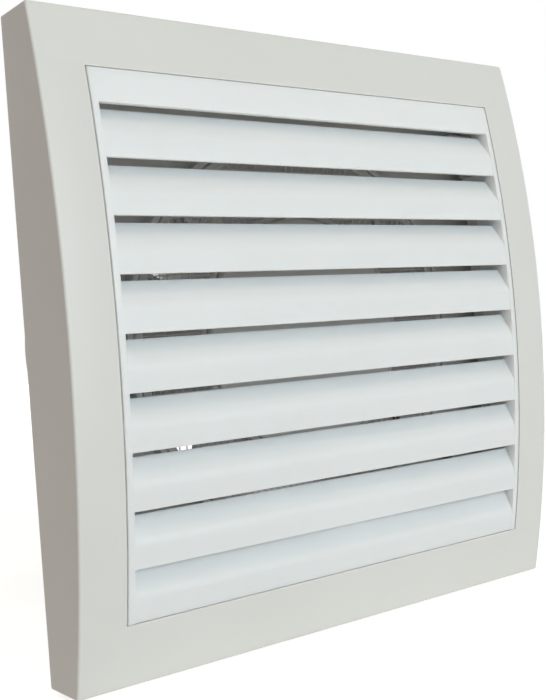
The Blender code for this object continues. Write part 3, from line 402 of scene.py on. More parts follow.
    def weld(self) -> None:
        """Merges doubles and turns the faces outwards, in edit mode."""
        take_all()
        bpy.ops.mesh.remove_doubles(threshold=WELD)
        bpy.ops.mesh.normals_make_consistent(inside=False)

    def round_edges(self, size: float, test: Test = lambda edge: True, steps: int = ROUND_STEPS,
                    least: float = SHARP) -> "Workpiece":
        """Bevels the sharp edges that pass a test.

        Args:
            size: The bevel's width.
            test: Says whether a sharp edge is taken.
            steps: Its segments.
            least: The least angle of a sharp edge.

        Returns:
            This piece.
        """
        def sharp(edge: bmesh.types.BMEdge) -> bool:
            """Whether an edge is sharp and passes the test."""
            return len(edge.link_faces) == 2 and edge.calc_face_angle(0) > least and test(edge)

        with self.bench():
            if self.pick(Kind.EDGE, sharp):
                bpy.ops.mesh.bevel(offset=size, segments=steps, profile=0.5, affect="EDGES")
        return self

    def pick_up(self) -> None:
        """Selects this piece alone, in object mode."""
        clear_bench()
        self.body.select_set(True)
        bpy.context.view_layer.objects.active = self.body

    def modify(self, kind: str, **settings: object) -> "Workpiece":
        """Shapes the mesh with a modifier, which is applied.

        Args:
            kind: The modifier's type.
            **settings: Its settings.

        Returns:
            This piece.
        """
        modifier = self.body.modifiers.new(kind.lower(), kind)
        for name, value in settings.items():
            setattr(modifier, name, value)
        self.pick_up()
        bpy.ops.object.modifier_apply(modifier=modifier.name)
        return self

    def combine(self, operation: Operation, others: Sequence["Workpiece"]) -> "Workpiece":
        """Adds, cuts or keeps the room of other pieces, which it uses up.

        Args:
            operation: What is done with the others.
            others: The other pieces.

        Returns:
            This piece.
        """
        group = bpy.data.collections.new("operands")
        for other in others:
            group.objects.link(other.body)
        self.modify("BOOLEAN", operation=operation.value, solver="EXACT",
                    operand_type="COLLECTION", collection=group)
        for other in others:
            bpy.data.objects.remove(other.body, do_unlink=True)
        bpy.data.collections.remove(group)
        return self

    def join(self, *others: "Workpiece") -> "Workpiece":
        """Adds other pieces to this one."""
        return self.combine(Operation.JOIN, others)

    def cut(self, *others: "Workpiece") -> "Workpiece":
        """Cuts other pieces out of this one."""
        return self.combine(Operation.CUT, others)

    def moved(self, place: Matrix) -> "Workpiece":
        """Moves the mesh itself, so that the object stays at the origin.

        Args:
            place: The matrix that it is moved by.

        Returns:
            This piece.
        """
        self.body.data.transform(place)
        self.body.data.update()
        return self

    def copies(self, places: Sequence[Matrix]) -> list["Workpiece"]:
        """Copies with their own meshes, one to each place, in place of this piece.

        Args:
            places: A matrix for each copy.

        Returns:
            The copies.
        """
        made = []
        for i, place in enumerate(places):
            twin = self.body.copy()
            twin.data = self.body.data.copy()
            bpy.context.scene.collection.objects.link(twin)
            made.append(Workpiece(twin, f"{self.body.name}_{i + 1}").moved(place))
        bpy.data.objects.remove(self.body, do_unlink=True)
        return made

    def finish(self, look: str, body: Body, slot: str, node: str) -> None:
        """Shades, dresses and hangs the finished piece on its body.

        Args:
            look: The name of the piece's finish.
            body: The body that it moves with.
            slot: The record's material slot; not used.
            node: The CAD node that it stands for.
        """
        self.pick_up()
        bpy.ops.object.shade_smooth_by_angle(angle=CREASE)
        self.body.data.materials.clear()
        self.body.data.materials.append(MATERIALS[look])
        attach(self.body, body.value)
        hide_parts(node)
        triangles = sum(len(face.vertices) - 2 for face in self.body.data.polygons)
        log.info("%s: %d triangles", self.body.name, triangles)


class NodeSheet:
    """A material's or a group's node tree, with short calls to fill it."""

    def __init__(self, tree: bpy.types.NodeTree) -> None:
        """Takes the tree."""
        self.tree = tree

    def add(self, kind: str, inputs: dict[str, object] | None = None,
            **settings: object) -> bpy.types.Node:
        """Adds a node, sets it, and feeds its inputs.

        Args:
            kind: The node's type.
            inputs: A value or a socket for each input by name or number.
            **settings: The node's own settings.

        Returns:
            The node.
        """
        node = self.tree.nodes.new(kind)
        for name, value in settings.items():
            setattr(node, name, value)
        for name, value in (inputs or {}).items():
            self.plug(node.inputs[name], value)
        return node

    def plug(self, socket: Socket, value: object) -> None:
        """Feeds an input.

        Args:
            socket: The input.
            value: The socket that it is linked to, or its value; a colour gets its alpha here.
        """
        if isinstance(value, Socket):
            self.tree.links.new(value, socket)
        elif socket.type == "RGBA":
            socket.default_value = (*value, 1)
        else:
            socket.default_value = value

    def place(self) -> Socket:
        """The place on the piece."""
        return self.add("ShaderNodeTexCoord").outputs["Object"]

    def noise(self, place: object, scale: object, detail: float, rough: float = 0.5) -> Socket:
        """Cloudy noise.

        Args:
            place: The place on the piece.
            scale: How fine the noise is.
            detail: How many finer layers it has.
            rough: How much the finer layers show.

        Returns:
            The noise.
        """
        return self.add("ShaderNodeTexNoise", {"Vector": place, "Scale": scale, "Detail": detail,
                                               "Roughness": rough}).outputs[0]

    def maths(self, operation: str, *terms: object, clamp: bool = False) -> Socket:
        """One sum of values or sockets, kept between 0 and 1 where asked."""
        return self.add("ShaderNodeMath", dict(enumerate(terms)), operation=operation,
                        use_clamp=clamp).outputs[0]

    def share(self, *terms: object) -> Socket:
        """The product of two shares, kept between 0 and 1."""
        return self.maths("MULTIPLY", *terms, clamp=True)

    def mix(self, share: object, first: object, second: object) -> Socket:
        """Mixes two colours by a share."""
        return self.add("ShaderNodeMix", {0: share, 6: first, 7: second},
                        data_type="RGBA").outputs[2]

    def span(self, value: object, *ends: float) -> Socket:
        """Maps a value's range smoothly to another, or to 0 and 1 where none is given."""
        return self.add("ShaderNodeMapRange", {0: value, **dict(enumerate(ends, 1))},
                        interpolation_type="SMOOTHSTEP").outputs[0]


class Effect:
    """A shader node group with named inputs and outputs, built once."""

    def __init__(self, name: str, inputs: dict[str, str], outputs: dict[str, str]) -> None:
        """Makes the group's sockets.

        Args:
            name: The group's name.
            inputs: The kind of each input socket.
            outputs: The kind of each output socket.
        """
        self.tree = bpy.data.node_groups.new(name, "ShaderNodeTree")
        for label, kind in inputs.items():
            self.tree.interface.new_socket(label, in_out="INPUT", socket_type="NodeSocket" + kind)
        for label, kind in outputs.items():
            self.tree.interface.new_socket(label, in_out="OUTPUT", socket_type="NodeSocket" + kind)
        self.sheet = NodeSheet(self.tree)
        self.given = self.tree.nodes.new("NodeGroupInput").outputs
        self.result = self.tree.nodes.new("NodeGroupOutput").inputs

    def gives(self, **sockets: Socket) -> None:
        """Feeds the group's outputs."""
        for label, socket in sockets.items():
            self.tree.links.new(socket, self.result[label])

    def used(self, sheet: NodeSheet, **inputs: object) -> bpy.types.NodeOutputs:
        """Places the group in a material, fed with a value or a socket for each input."""
        return sheet.add("ShaderNodeGroup", inputs, node_tree=self.tree).outputs


@dataclass
class Effects:
    """The surface effects that the finishes share."""

    cloud_layers: float = 4.0
    cloud_rough: float = 0.55
    cloud_ends: Pair = (0.35, 0.68)
    speck_scale: float = 900.0
    speck_layers: float = 2.0
    grain_layers: float = 3.0
    cell_softness: float = 0.6
    cell_share: float = 0.5
    wear_scale: float = 160.0
    wear_layers: float = 5.0
    wear_ends: Pair = (0.38, 0.6)
    edge_reach: float = 0.0006
    edge_ends: Pair = (0.85, 0.35)
    corner_reach: float = 0.004
    corner_ends: Pair = (0.8, 0.25)
    shade_samples: int = 4
    mark_layers: float = 6.0
    mark_rough: float = 0.7
    mark_ends: Pair = (0.3, 0.7)
    groove_ends: Pair = (0.45, 0.05)

    def __post_init__(self) -> None:
        """Builds every group."""
        self.mottle = self.make_mottle()
        self.grain = self.make_grain()
        self.highlight_and_shade = self.make_highlight_and_shade()
        self.marks = self.make_marks()
        self.bands = self.make_bands()

    def make_mottle(self) -> Effect:
        """Slow variation of colour and roughness, as in a moulding or a plated part."""
        effect = Effect(
            "mottle",
            {"Place": "Vector", "Colour": "Color", "Shade": "Color", "Scale": "Float",
             "Amount": "Float", "Rough": "Float", "Spread": "Float"},
            {"Colour": "Color", "Roughness": "Float"},
        )
        sheet, given = effect.sheet, effect.given
        cloud = sheet.noise(given["Place"], given["Scale"], self.cloud_layers, self.cloud_rough)
        share = sheet.share(sheet.span(cloud, *self.cloud_ends), given["Amount"])
        speck = sheet.noise(given["Place"], self.speck_scale, self.speck_layers)
        effect.gives(Colour=sheet.mix(share, given["Colour"], given["Shade"]),
                     Roughness=sheet.maths("MULTIPLY_ADD", speck, given["Spread"], given["Rough"]))
        return effect

    def make_grain(self) -> Effect:
        """The fine texture of a mould's surface, as a height."""
        effect = Effect("mould_grain", {"Place": "Vector", "Scale": "Float"}, {"Height": "Float"})
        sheet, given = effect.sheet, effect.given
        cells = sheet.add("ShaderNodeTexVoronoi",
                          {"Vector": given["Place"], "Scale": given["Scale"],
                           "Smoothness": self.cell_softness}, feature="SMOOTH_F1")
        cloud = sheet.noise(given["Place"], given["Scale"], self.grain_layers)
        effect.gives(Height=sheet.maths("MULTIPLY_ADD", cells.outputs[0], self.cell_share, cloud))
        return effect

    def make_highlight_and_shade(self) -> Effect:
        """Two masks, patchy like wear: a painted highlight on outer edges and painted shade, meant
        as dust, in corners.
        """
        effect = Effect("edges_and_corners", {"Place": "Vector", "Edge": "Float", "Dust": "Float"},
                        {"Edge": "Float", "Dust": "Float"})
        sheet, given = effect.sheet, effect.given
        broken = sheet.span(sheet.noise(given["Place"], self.wear_scale, self.wear_layers),
                            *self.wear_ends)
        masks = {}
        # The edge mask lightens convex edges as a painted highlight; the corner mask darkens
        # recesses as painted shade, meant as dust.
        for label, reach, inside, ends in (
            ("Edge", self.edge_reach, True, self.edge_ends),
            ("Dust", self.corner_reach, False, self.corner_ends),
        ):
            near = sheet.add("ShaderNodeAmbientOcclusion", {"Distance": reach}, inside=inside,
                             samples=self.shade_samples).outputs["AO"]
            masks[label] = sheet.share(sheet.share(sheet.span(near, *ends), broken), given[label])
        effect.gives(**masks)
        return effect

    def make_marks(self) -> Effect:
        """Fine tool marks round a turned part or along a ground one."""
        effect = Effect("tool_marks", {"Place": "Vector", "Scale": "Float"},
                        {"Mask": "Float", "Height": "Float"})
        cloud = effect.sheet.noise(effect.given["Place"], effect.given["Scale"],
                                   self.mark_layers, self.mark_rough)
        effect.gives(Mask=effect.sheet.span(cloud, *self.mark_ends), Height=cloud)
        return effect

    def make_bands(self) -> Effect:
        """Even bands, as of stacked sheets or of wire turns laid side by side."""
        effect = Effect("bands", {"Place": "Vector", "Scale": "Float"},
                        {"Groove": "Float", "Height": "Float"})
        wave = effect.sheet.add(
            "ShaderNodeTexWave", {"Vector": effect.given["Place"], "Scale": effect.given["Scale"],
                                  "Distortion": 0.0},
            wave_type="BANDS", bands_direction="Y", wave_profile="SIN").outputs["Fac"]
        effect.gives(Groove=effect.sheet.span(wave, *self.groove_ends), Height=wave)
        return effect


EFFECTS = Effects()


@dataclass(frozen=True)
class Finish(ABC):
    """What every finish has: a colour, its shade, and how its surface behaves."""

    name: str
    colour: Triple
    shade: Triple
    rough: float = 0.42
    rough_spread: float = 0.10
    amount: float = 0.35
    mottle_scale: float = 26.0
    metallic: float = 0.0
    stretch: Triple = UNSTRETCHED
    bump: float = 0.25
    bump_depth: float = 0.00006

    @abstractmethod
    def surface(self, sheet: NodeSheet, shader: bpy.types.Node, place: Socket,
                colour: Socket) -> tuple[Socket, Socket]:
        """Adds what sets this kind of finish apart.

        Args:
            sheet: The material's nodes.
            shader: Its Principled shader.
            place: The place on the piece.
            colour: The colour with its slow variation.

        Returns:
            The sockets of the base colour and of the surface's height.
        """

    def material(self) -> bpy.types.Material:
        """The finish as a material, which varies slowly in colour and roughness."""
        material = bpy.data.materials.new(self.name)
        material.use_nodes = True
        material.diffuse_color = (*self.colour, 1)
        sheet = NodeSheet(material.node_tree)
        shader = material.node_tree.nodes["Principled BSDF"]
        shader.inputs["Metallic"].default_value = self.metallic
        place = sheet.place()
        if self.stretch != UNSTRETCHED:
            place = sheet.add("ShaderNodeMapping", {"Vector": place,
                                                    "Scale": self.stretch}).outputs[0]
        varied = EFFECTS.mottle.used(
            sheet, Place=place, Colour=self.colour, Shade=self.shade, Scale=self.mottle_scale,
            Amount=self.amount, Rough=self.rough, Spread=self.rough_spread)
        colour, height = self.surface(sheet, shader, place, varied["Colour"])
        bump = sheet.add("ShaderNodeBump", {"Strength": self.bump, "Distance": self.bump_depth,
                                            "Height": height}).outputs[0]
        for label, socket in (("Base Color", colour), ("Roughness", varied["Roughness"]),
                              ("Normal", bump)):
            sheet.plug(shader.inputs[label], socket)
        return material


@dataclass(frozen=True)
class MouldedPlastic(Finish):
    """Moulded plastic with a fine grain, a painted highlight on its edges and painted shade, meant
    as dust, in its corners.
    """

    bump: float = 0.22
    bump_depth: float = 0.00004
    grain_scale: float = 2600.0
    # Strength and colour of the painted edge highlight, and of the painted corner shade meant as
    # dust.
    edge: float = 0.35
    dust: float = 0.25
    edge_highlight_colour: Triple = (0.9, 0.9, 0.88)
    dust_and_shade_colour: Triple = (0.52, 0.49, 0.44)
    glow_through: float = 0.0
    glow_spread: Triple = (1.0, 0.92, 0.85)
    glow_reach: float = 0.003

    def surface(self, sheet: NodeSheet, shader: bpy.types.Node, place: Socket,
                colour: Socket) -> tuple[Socket, Socket]:
        """Adds grain, a painted edge highlight, painted corner shade meant as dust, and the light
        that passes through.
        """
        for label, value in (("Weight", self.glow_through), ("Radius", self.glow_spread),
                             ("Scale", self.glow_reach)):
            sheet.plug(shader.inputs["Subsurface " + label], value)
        masks = EFFECTS.highlight_and_shade.used(sheet, Place=place, Edge=self.edge, Dust=self.dust)
        grain = EFFECTS.grain.used(sheet, Place=place, Scale=self.grain_scale)
        # Painted highlight on outer edges.
        colour = sheet.mix(masks["Edge"], colour, self.edge_highlight_colour)
        # Painted shade in corners and recesses, meant as dust.
        return sheet.mix(masks["Dust"], colour, self.dust_and_shade_colour), grain["Height"]


@dataclass(frozen=True)
class WorkedMetal(Finish):
    """Metal with tool marks in colour and height."""

    marks_scale: float = 320.0
    marks: float = 0.3

    def surface(self, sheet: NodeSheet, shader: bpy.types.Node, place: Socket,
                colour: Socket) -> tuple[Socket, Socket]:
        """Adds the tool marks."""
        marks = EFFECTS.marks.used(sheet, Place=place, Scale=self.marks_scale)
        share = sheet.share(marks["Mask"], self.marks)
        return sheet.mix(share, colour, self.shade), marks["Height"]


@dataclass(frozen=True)
class BandedMetal(Finish):
    """Metal in even bands: stacked sheets, or wire laid turn beside turn."""

    bump: float = 0.6
    bump_depth: float = 0.0001
    band_scale: float = 160.0
    groove: float = 0.7

    def surface(self, sheet: NodeSheet, shader: bpy.types.Node, place: Socket,
                colour: Socket) -> tuple[Socket, Socket]:
        """Adds the grooves between the bands."""
        bands = EFFECTS.bands.used(sheet, Place=place, Scale=self.band_scale)
        share = sheet.share(bands["Groove"], self.groove)
        return sheet.mix(share, colour, self.shade), bands["Height"]


FINISHES: dict[str, Finish] = {finish.name: finish for finish in (
    # The cover's outer edges get a strong, near-white painted highlight.
    MouldedPlastic("warm_white_cover", (0.73, 0.73, 0.70), (0.69, 0.69, 0.66), 0.40,
                   edge=0.9, edge_highlight_colour=(0.97, 0.97, 0.95)),
    MouldedPlastic("cool_white_louvre", (0.87, 0.895, 0.895), (0.84, 0.865, 0.87), 0.38,
                   glow_through=0.7),
    MouldedPlastic("textured_white_casing", (0.84, 0.84, 0.82), (0.80, 0.80, 0.78), 0.5,
                   grain_scale=1500.0, bump_depth=0.00008),
    MouldedPlastic("light_grey_net", (0.74, 0.74, 0.73), (0.66, 0.66, 0.65), 0.5),
    MouldedPlastic("light_grey_impeller", (0.62, 0.63, 0.64), (0.56, 0.57, 0.58), 0.42),
    MouldedPlastic("natural_nylon", (0.72, 0.70, 0.60), (0.63, 0.60, 0.50), 0.45),
    MouldedPlastic("ivory_terminal_plastic", (0.80, 0.79, 0.74), (0.72, 0.71, 0.66), 0.32),
    # The rubber's edges get a lighter painted highlight too.
    MouldedPlastic("black_rubber", (0.045, 0.045, 0.047), (0.075, 0.075, 0.078), 0.72,
                   edge=0.2, edge_highlight_colour=(0.14, 0.14, 0.14), grain_scale=900.0),
    MouldedPlastic("brown_insulation", (0.20, 0.085, 0.045), (0.16, 0.065, 0.035), 0.38,
                   edge=0.0, bump_depth=0.00002),
    MouldedPlastic("blue_insulation", (0.045, 0.15, 0.43), (0.035, 0.12, 0.36), 0.38,
                   edge=0.0, bump_depth=0.00002),
    WorkedMetal("zinc_plated_screw", (0.52, 0.52, 0.53), (0.36, 0.36, 0.37), 0.4, metallic=1.0,
                mottle_scale=220.0),
    WorkedMetal("ground_shaft_steel", (0.64, 0.64, 0.65), (0.48, 0.48, 0.49), 0.20, metallic=1.0,
                stretch=(1.0, 8.0, 1.0)),
    WorkedMetal("bearing_steel_ring", (0.56, 0.57, 0.59), (0.40, 0.41, 0.43), 0.2, metallic=1.0,
                stretch=(1.0, 8.0, 1.0)),
    WorkedMetal("cast_aluminium_rotor", (0.62, 0.63, 0.64), (0.44, 0.45, 0.46), 0.36,
                metallic=1.0, stretch=(1.0, 4.0, 1.0)),
    WorkedMetal("drawn_brass", (0.74, 0.53, 0.22), (0.50, 0.33, 0.12), 0.28, metallic=1.0,
                mottle_scale=180.0),
    BandedMetal("steel_laminations", (0.36, 0.36, 0.38), (0.10, 0.10, 0.11), 0.42,
                metallic=1.0, band_scale=320.0),
    BandedMetal("enamelled_copper_wire", (0.66, 0.27, 0.10), (0.22, 0.07, 0.03), 0.24,
                metallic=1.0, band_scale=440.0),
)}

MATERIALS = {name: finish.material() for name, finish in FINISHES.items()}


@dataclass
class FrontCover:
    """The bowed square frame with its skirt, window collar, lugs and tongue guides."""

    side: float = 0.150
    skirt_y: float = -0.0003
    wall: float = 0.0020
    edge_depth: float = 0.0127
    draft: float = 0.0005
    edge_round: float = 0.0006
    edge_steps: int = 5
    window_x: float = 0.0630
    window_z: Pair = (-0.0604, 0.0609)
    window_round: float = 0.00015
    collar_wall: float = 0.0015
    collar_back_y: float = -0.0062
    rib_wall: float = 0.0012
    rib_back_y: float = -0.0079
    rib_place: float = 0.04125
    lug_side: float = 0.0106
    lug_y: Pair = (-0.0112, -0.0092)
    lug_reach: float = 0.0480
    lug_hole: float = 0.0017
    guide_wall: float = 0.0012
    guide_x: float = 0.0610
    notch_room: float = 0.0007

    @property
    def collar_x(self) -> float:
        """The collar's outside."""
        return self.window_x + self.collar_wall

    def lug_places(self) -> list[Pair]:
        """The two screw lugs, at opposite corners of the window."""
        across = self.window_x - self.lug_side / 2
        return [(side * across, side * self.lug_reach) for side in SIDES]

    def drafted(self, block: Workpiece, half: float, inset: float = 0.0) -> Workpiece:
        """Slopes a bowed block's four sides in towards its front, as the mould needs.

        Args:
            block: The bowed block.
            half: Half its width at the wall.
            inset: Distance of its front behind the cover's.

        Returns:
            The block.
        """
        for vert in block.body.data.vertices:
            x, y, z = vert.co
            side = half - self.draft * max(self.skirt_y - y, 0) / self.edge_depth
            if abs(z) > half - CLEARANCE:
                z = math.copysign(side, z)
                if y < -self.edge_depth / 2:
                    y = BOW.y(z, inset)
            vert.co = (math.copysign(side, x), y, z)
        return block

    def shell(self) -> Workpiece:
        """The outer shell with its rounded edges, hollow behind."""
        half = self.side / 2
        shell = Workpiece.bowed("cover_frame", (-half, half), (-half, half), self.skirt_y)
        self.drafted(shell, half).round_edges(
            self.edge_round,
            lambda edge: min(vert.co.y for vert in edge.verts) < self.skirt_y - WELD,
            self.edge_steps,
        )
        inner = half - self.wall
        hollow = Workpiece.bowed("hollow", (-inner, inner), (-inner, inner), OVERRUN, self.wall)
        return shell.cut(self.drafted(hollow, inner, self.wall))

    def collar(self) -> list[Workpiece]:
        """The walls round the window, which follow the bow at the sides."""
        low, high = self.window_z
        front, outer = BOW.y(high, self.wall / 2), self.collar_x
        walls = [Workpiece.block("collar_level", (-outer, front, edge - up * BURY),
                                 (outer, self.collar_back_y, edge + up * self.collar_wall))
                 for edge, up in ((high, 1), (low, -1))]
        for side in SIDES:
            x_span = sorted((side * (self.window_x - BURY), side * outer))
            walls.append(Workpiece.bowed(
                "collar_side", x_span, (low - self.collar_wall, high + self.collar_wall),
                self.collar_back_y, self.wall / 2))
        return walls

    def ribs(self) -> list[Workpiece]:
        """Short stiffeners between the collar and the skirt, two to a band."""
        reach = self.side / 2 - self.draft - self.wall / 2
        half, place = self.rib_wall / 2, self.rib_place
        ribs = []
        for side, up in CORNERS:
            ribs.append(Workpiece.block(
                "side_rib",
                (side * (self.collar_x - BURY), BOW.y(place, self.wall / 2), up * place - half),
                (side * reach, self.rib_back_y, up * place + half)))
            edge = abs(self.window_z[up > 0])
            ribs.append(Workpiece.block(
                "level_rib",
                (side * place - half, BOW.y(reach, self.wall / 2), up * (edge + BURY)),
                (side * place + half, self.rib_back_y, up * reach)))
        return ribs

    def inside_fittings(self) -> list[Workpiece]:
        """Screw lugs and the guides that the louvre's tongues clip between."""
        outer, half = self.window_x + BURY, self.lug_side / 2
        fittings = []
        for x, z in self.lug_places():
            side = math.copysign(1, x)
            fittings.append(Workpiece.block(
                "lug", (side * (self.window_x - self.lug_side), self.lug_y[0], z - half),
                (side * outer, self.lug_y[1], z + half)))
        louvre = LouvreGrille()
        for side, up, edge in product(SIDES, repeat=3):
            z = up * louvre.tongue_reach + edge * (louvre.tongue_width / 2 + CLEARANCE)
            fittings.append(Workpiece.block(
                "guide", (side * self.guide_x, self.lug_y[0], z),
                (side * outer, self.collar_back_y, z + edge * self.guide_wall)))
        return fittings

    def build(self) -> None:
        """Models the cover and dresses it."""
        shell = self.shell().join(*self.collar(), *self.ribs())
        low, high = self.window_z
        shell.cut(Workpiece.block("window", (-self.window_x, BOW.front_y - OVERRUN, low),
                                  (self.window_x, OVERRUN, high)))

        def at_window(edge: bmesh.types.BMEdge) -> bool:
            """Whether an edge runs round the window in the front face."""
            return all(
                abs(y - BOW.y(z)) < NEAR and abs(x) < self.window_x + NEAR
                and low - NEAR < z < high + NEAR
                for x, y, z in (vert.co for vert in edge.verts)
            )

        shell.round_edges(self.window_round, at_window)
        shell.join(*self.inside_fittings())
        holes = Workpiece.rods("lug_hole", self.lug_places(), self.lug_hole,
                               (self.lug_y[0] - OVERRUN, self.lug_y[1] + OVERRUN))
        box_low, box_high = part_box("terminal_cover")
        room = Vector((self.notch_room,) * 3)
        holes.append(Workpiece.block("collar_notch", box_low - room,
                                     Vector((box_high.x, OVERRUN, box_high.z)) + room))
        shell.cut(*holes).finish("warm_white_cover", Body.CASING, "cover_white", "front_cover")


@dataclass
class LouvreGrille:
    """The bowed insert: rim, top fascia and nine leaning slats, with four tongues behind."""

    side_x: float = 0.06265
    span_z: Pair = (-0.0603, 0.0607)
    back_y: float = -0.0115
    rim_wall: float = 0.0016
    rim_round: float = 0.00012
    fascia_height: float = 0.0078
    fascia_wall: float = 0.0016
    slat_count: int = 9
    first_pitch: float = 0.01225
    slat_pitch: float = 0.01271
    slat_height: float = 0.0116
    slat_setback: float = 0.0034
    slat_flat: float = 0.0058
    slat_knee: float = 0.0013
    slat_wall: float = 0.0013
    slat_recess: float = 0.00008
    slat_round: float = 0.00018
    knee_steps: int = 10
    tongue_width: float = 0.0080
    tongue_reach: float = 0.038
    tongue_length: float = 0.0045

    @property
    def inner_x(self) -> float:
        """The inside of the rim's side walls."""
        return self.side_x - self.rim_wall

    @property
    def first_lip(self) -> float:
        """The fascia's lower edge."""
        return self.span_z[1] - self.fascia_height

    def rim(self) -> Workpiece:
        """The rim with the fascia, open over the slats, low at its sill, hollow behind."""
        (low, high), inner = self.span_z, self.inner_x
        front, back = BOW.front_y - OVERRUN, self.back_y + OVERRUN
        rim = Workpiece.bowed("louvre", (-self.side_x, self.side_x), self.span_z, self.back_y)
        rim.round_edges(self.rim_round, lambda edge: all(
            vert.co.y < self.back_y - WELD for vert in edge.verts))
        opening = Workpiece.block("opening", (-inner, front, low + self.rim_wall),
                                  (inner, back, self.first_lip))
        sill = Workpiece.block("sill", (-inner, front, low - OVERRUN),
                               (inner, BOW.y(low) + self.slat_wall / 2,
                                low + self.rim_wall + BURY))
        pocket = Workpiece.bowed(
            "pocket", (-inner, inner), (self.first_lip - self.fascia_wall, high - self.rim_wall),
            back, self.fascia_wall)
        return rim.cut(opening, sill, pocket)

    def slat(self) -> Workpiece:
        """One slat on a flat front, its lip at the level of the duct's axis.

        Returns:
            The slat: a flat lip, a rounded knee, and a straight lean back to its top.
        """
        lean = self.slat_setback / (self.slat_height - self.slat_flat)
        section = [(0.0, 0.0)]
        for i in range(self.knee_steps + 1):
            share = 2 * i / self.knee_steps
            section.append((lean * self.slat_knee * share**2 / 4,
                            self.slat_flat + self.slat_knee * (share - 1)))
        section.append((self.slat_setback, self.slat_height))
        reach = self.inner_x + BURY
        slat = Workpiece.path("slat", [(-reach, BOW.front_y + back, up) for back, up in section])
        with slat.bench():
            take_all()
            draw_out((2 * reach, 0, 0))
            take_all()
            bpy.ops.mesh.normals_make_consistent(inside=False)
            work = bmesh.from_edit_mesh(slat.body.data)
            work.faces.ensure_lookup_table()
            if work.faces[0].normal.y > 0:
                bpy.ops.mesh.flip_normals()
        slat.modify("SOLIDIFY", thickness=self.slat_wall, offset=-1)
        return slat.round_edges(self.slat_round, least=STEEP)

    def slats(self) -> list[Workpiece]:
        """Copies of one slat, each drawn back to follow the bow, the last at the bottom."""
        lips = [self.first_lip - self.first_pitch - i * self.slat_pitch
                for i in range(self.slat_count - 1)]
        lips.append(self.span_z[0] + self.slat_recess)
        slats = self.slat().copies([Matrix.Translation((0, 0, lip)) for lip in lips])
        for slat in slats:
            for vert in slat.body.data.vertices:
                vert.co.y += BOW.y(vert.co.z) - BOW.front_y + self.slat_recess
        return slats

    def tongues(self) -> list[Workpiece]:
        """Four clips that reach back from the rim's side walls."""
        half = self.tongue_width / 2
        return [Workpiece.block(
            "tongue", (side * self.inner_x, self.back_y - BURY, up * self.tongue_reach - half),
            (side * self.side_x, self.back_y + self.tongue_length, up * self.tongue_reach + half))
            for side, up in CORNERS]

    def build(self) -> None:
        """Models the louvre and dresses it."""
        louvre = self.rim().join(*self.slats(), *self.tongues())
        louvre.finish("cool_white_louvre", Body.LOUVRE, "louvre_white", "louvre_grille")


@dataclass
class InsectScreen:
    """The fine net behind the louvre, round the motor's cup."""

    inner: float = 0.0303
    outer: float = 0.0503
    back_y: float = -0.0042
    strand: float = 0.00048
    pitch: float = 0.0020
    hub_rim: float = 0.0016
    rim: float = 0.0023
    rim_wall: float = 0.0010
    rim_proud: float = 0.0001
    rim_round: float = 0.0003

    def net(self) -> Workpiece:
        """Square cells as strands, trimmed to the ring between the two rims."""
        cells = math.ceil(self.outer / self.pitch)
        clear_bench()
        bpy.ops.mesh.primitive_grid_add(
            x_subdivisions=2 * cells, y_subdivisions=2 * cells, size=2 * cells * self.pitch,
            location=(0, self.back_y - self.rim_wall / 2, 0), rotation=(math.pi / 2, 0, 0))
        bpy.ops.object.transform_apply(location=True, rotation=True, scale=True)
        net = Workpiece(bpy.context.object, "net")
        near, far = self.inner + self.hub_rim / 2, self.outer - self.rim / 2

        def outside(face: bmesh.types.BMFace) -> bool:
            """Whether a cell lies clear of the ring."""
            radii = [math.hypot(vert.co.x, vert.co.z) for vert in face.verts]
            return max(radii) < near or min(radii) > far

        with net.bench():
            net.pick(Kind.FACE, outside)
            bpy.ops.mesh.delete(type="FACE")
        net.modify("WIREFRAME", thickness=self.strand, use_boundary=True, use_even_offset=False)
        room = Workpiece.ring("room", (near, far),
                              (self.back_y - 2 * self.rim_wall, self.back_y + self.rim_wall))
        return net.combine(Operation.KEEP, [room])

    def build(self) -> None:
        """Models the screen and dresses it."""
        span = (self.back_y - self.rim_wall, self.back_y + self.rim_proud)
        rims = [Workpiece.ring("rim", radii, span, self.rim_round) for radii in (
            (self.outer - self.rim, self.outer), (self.inner, self.inner + self.hub_rim))]
        screen = self.net().join(*rims)
        screen.body.name = "net_screen"
        screen.finish("light_grey_net", Body.CASING, "net_grey", "insect_screen")


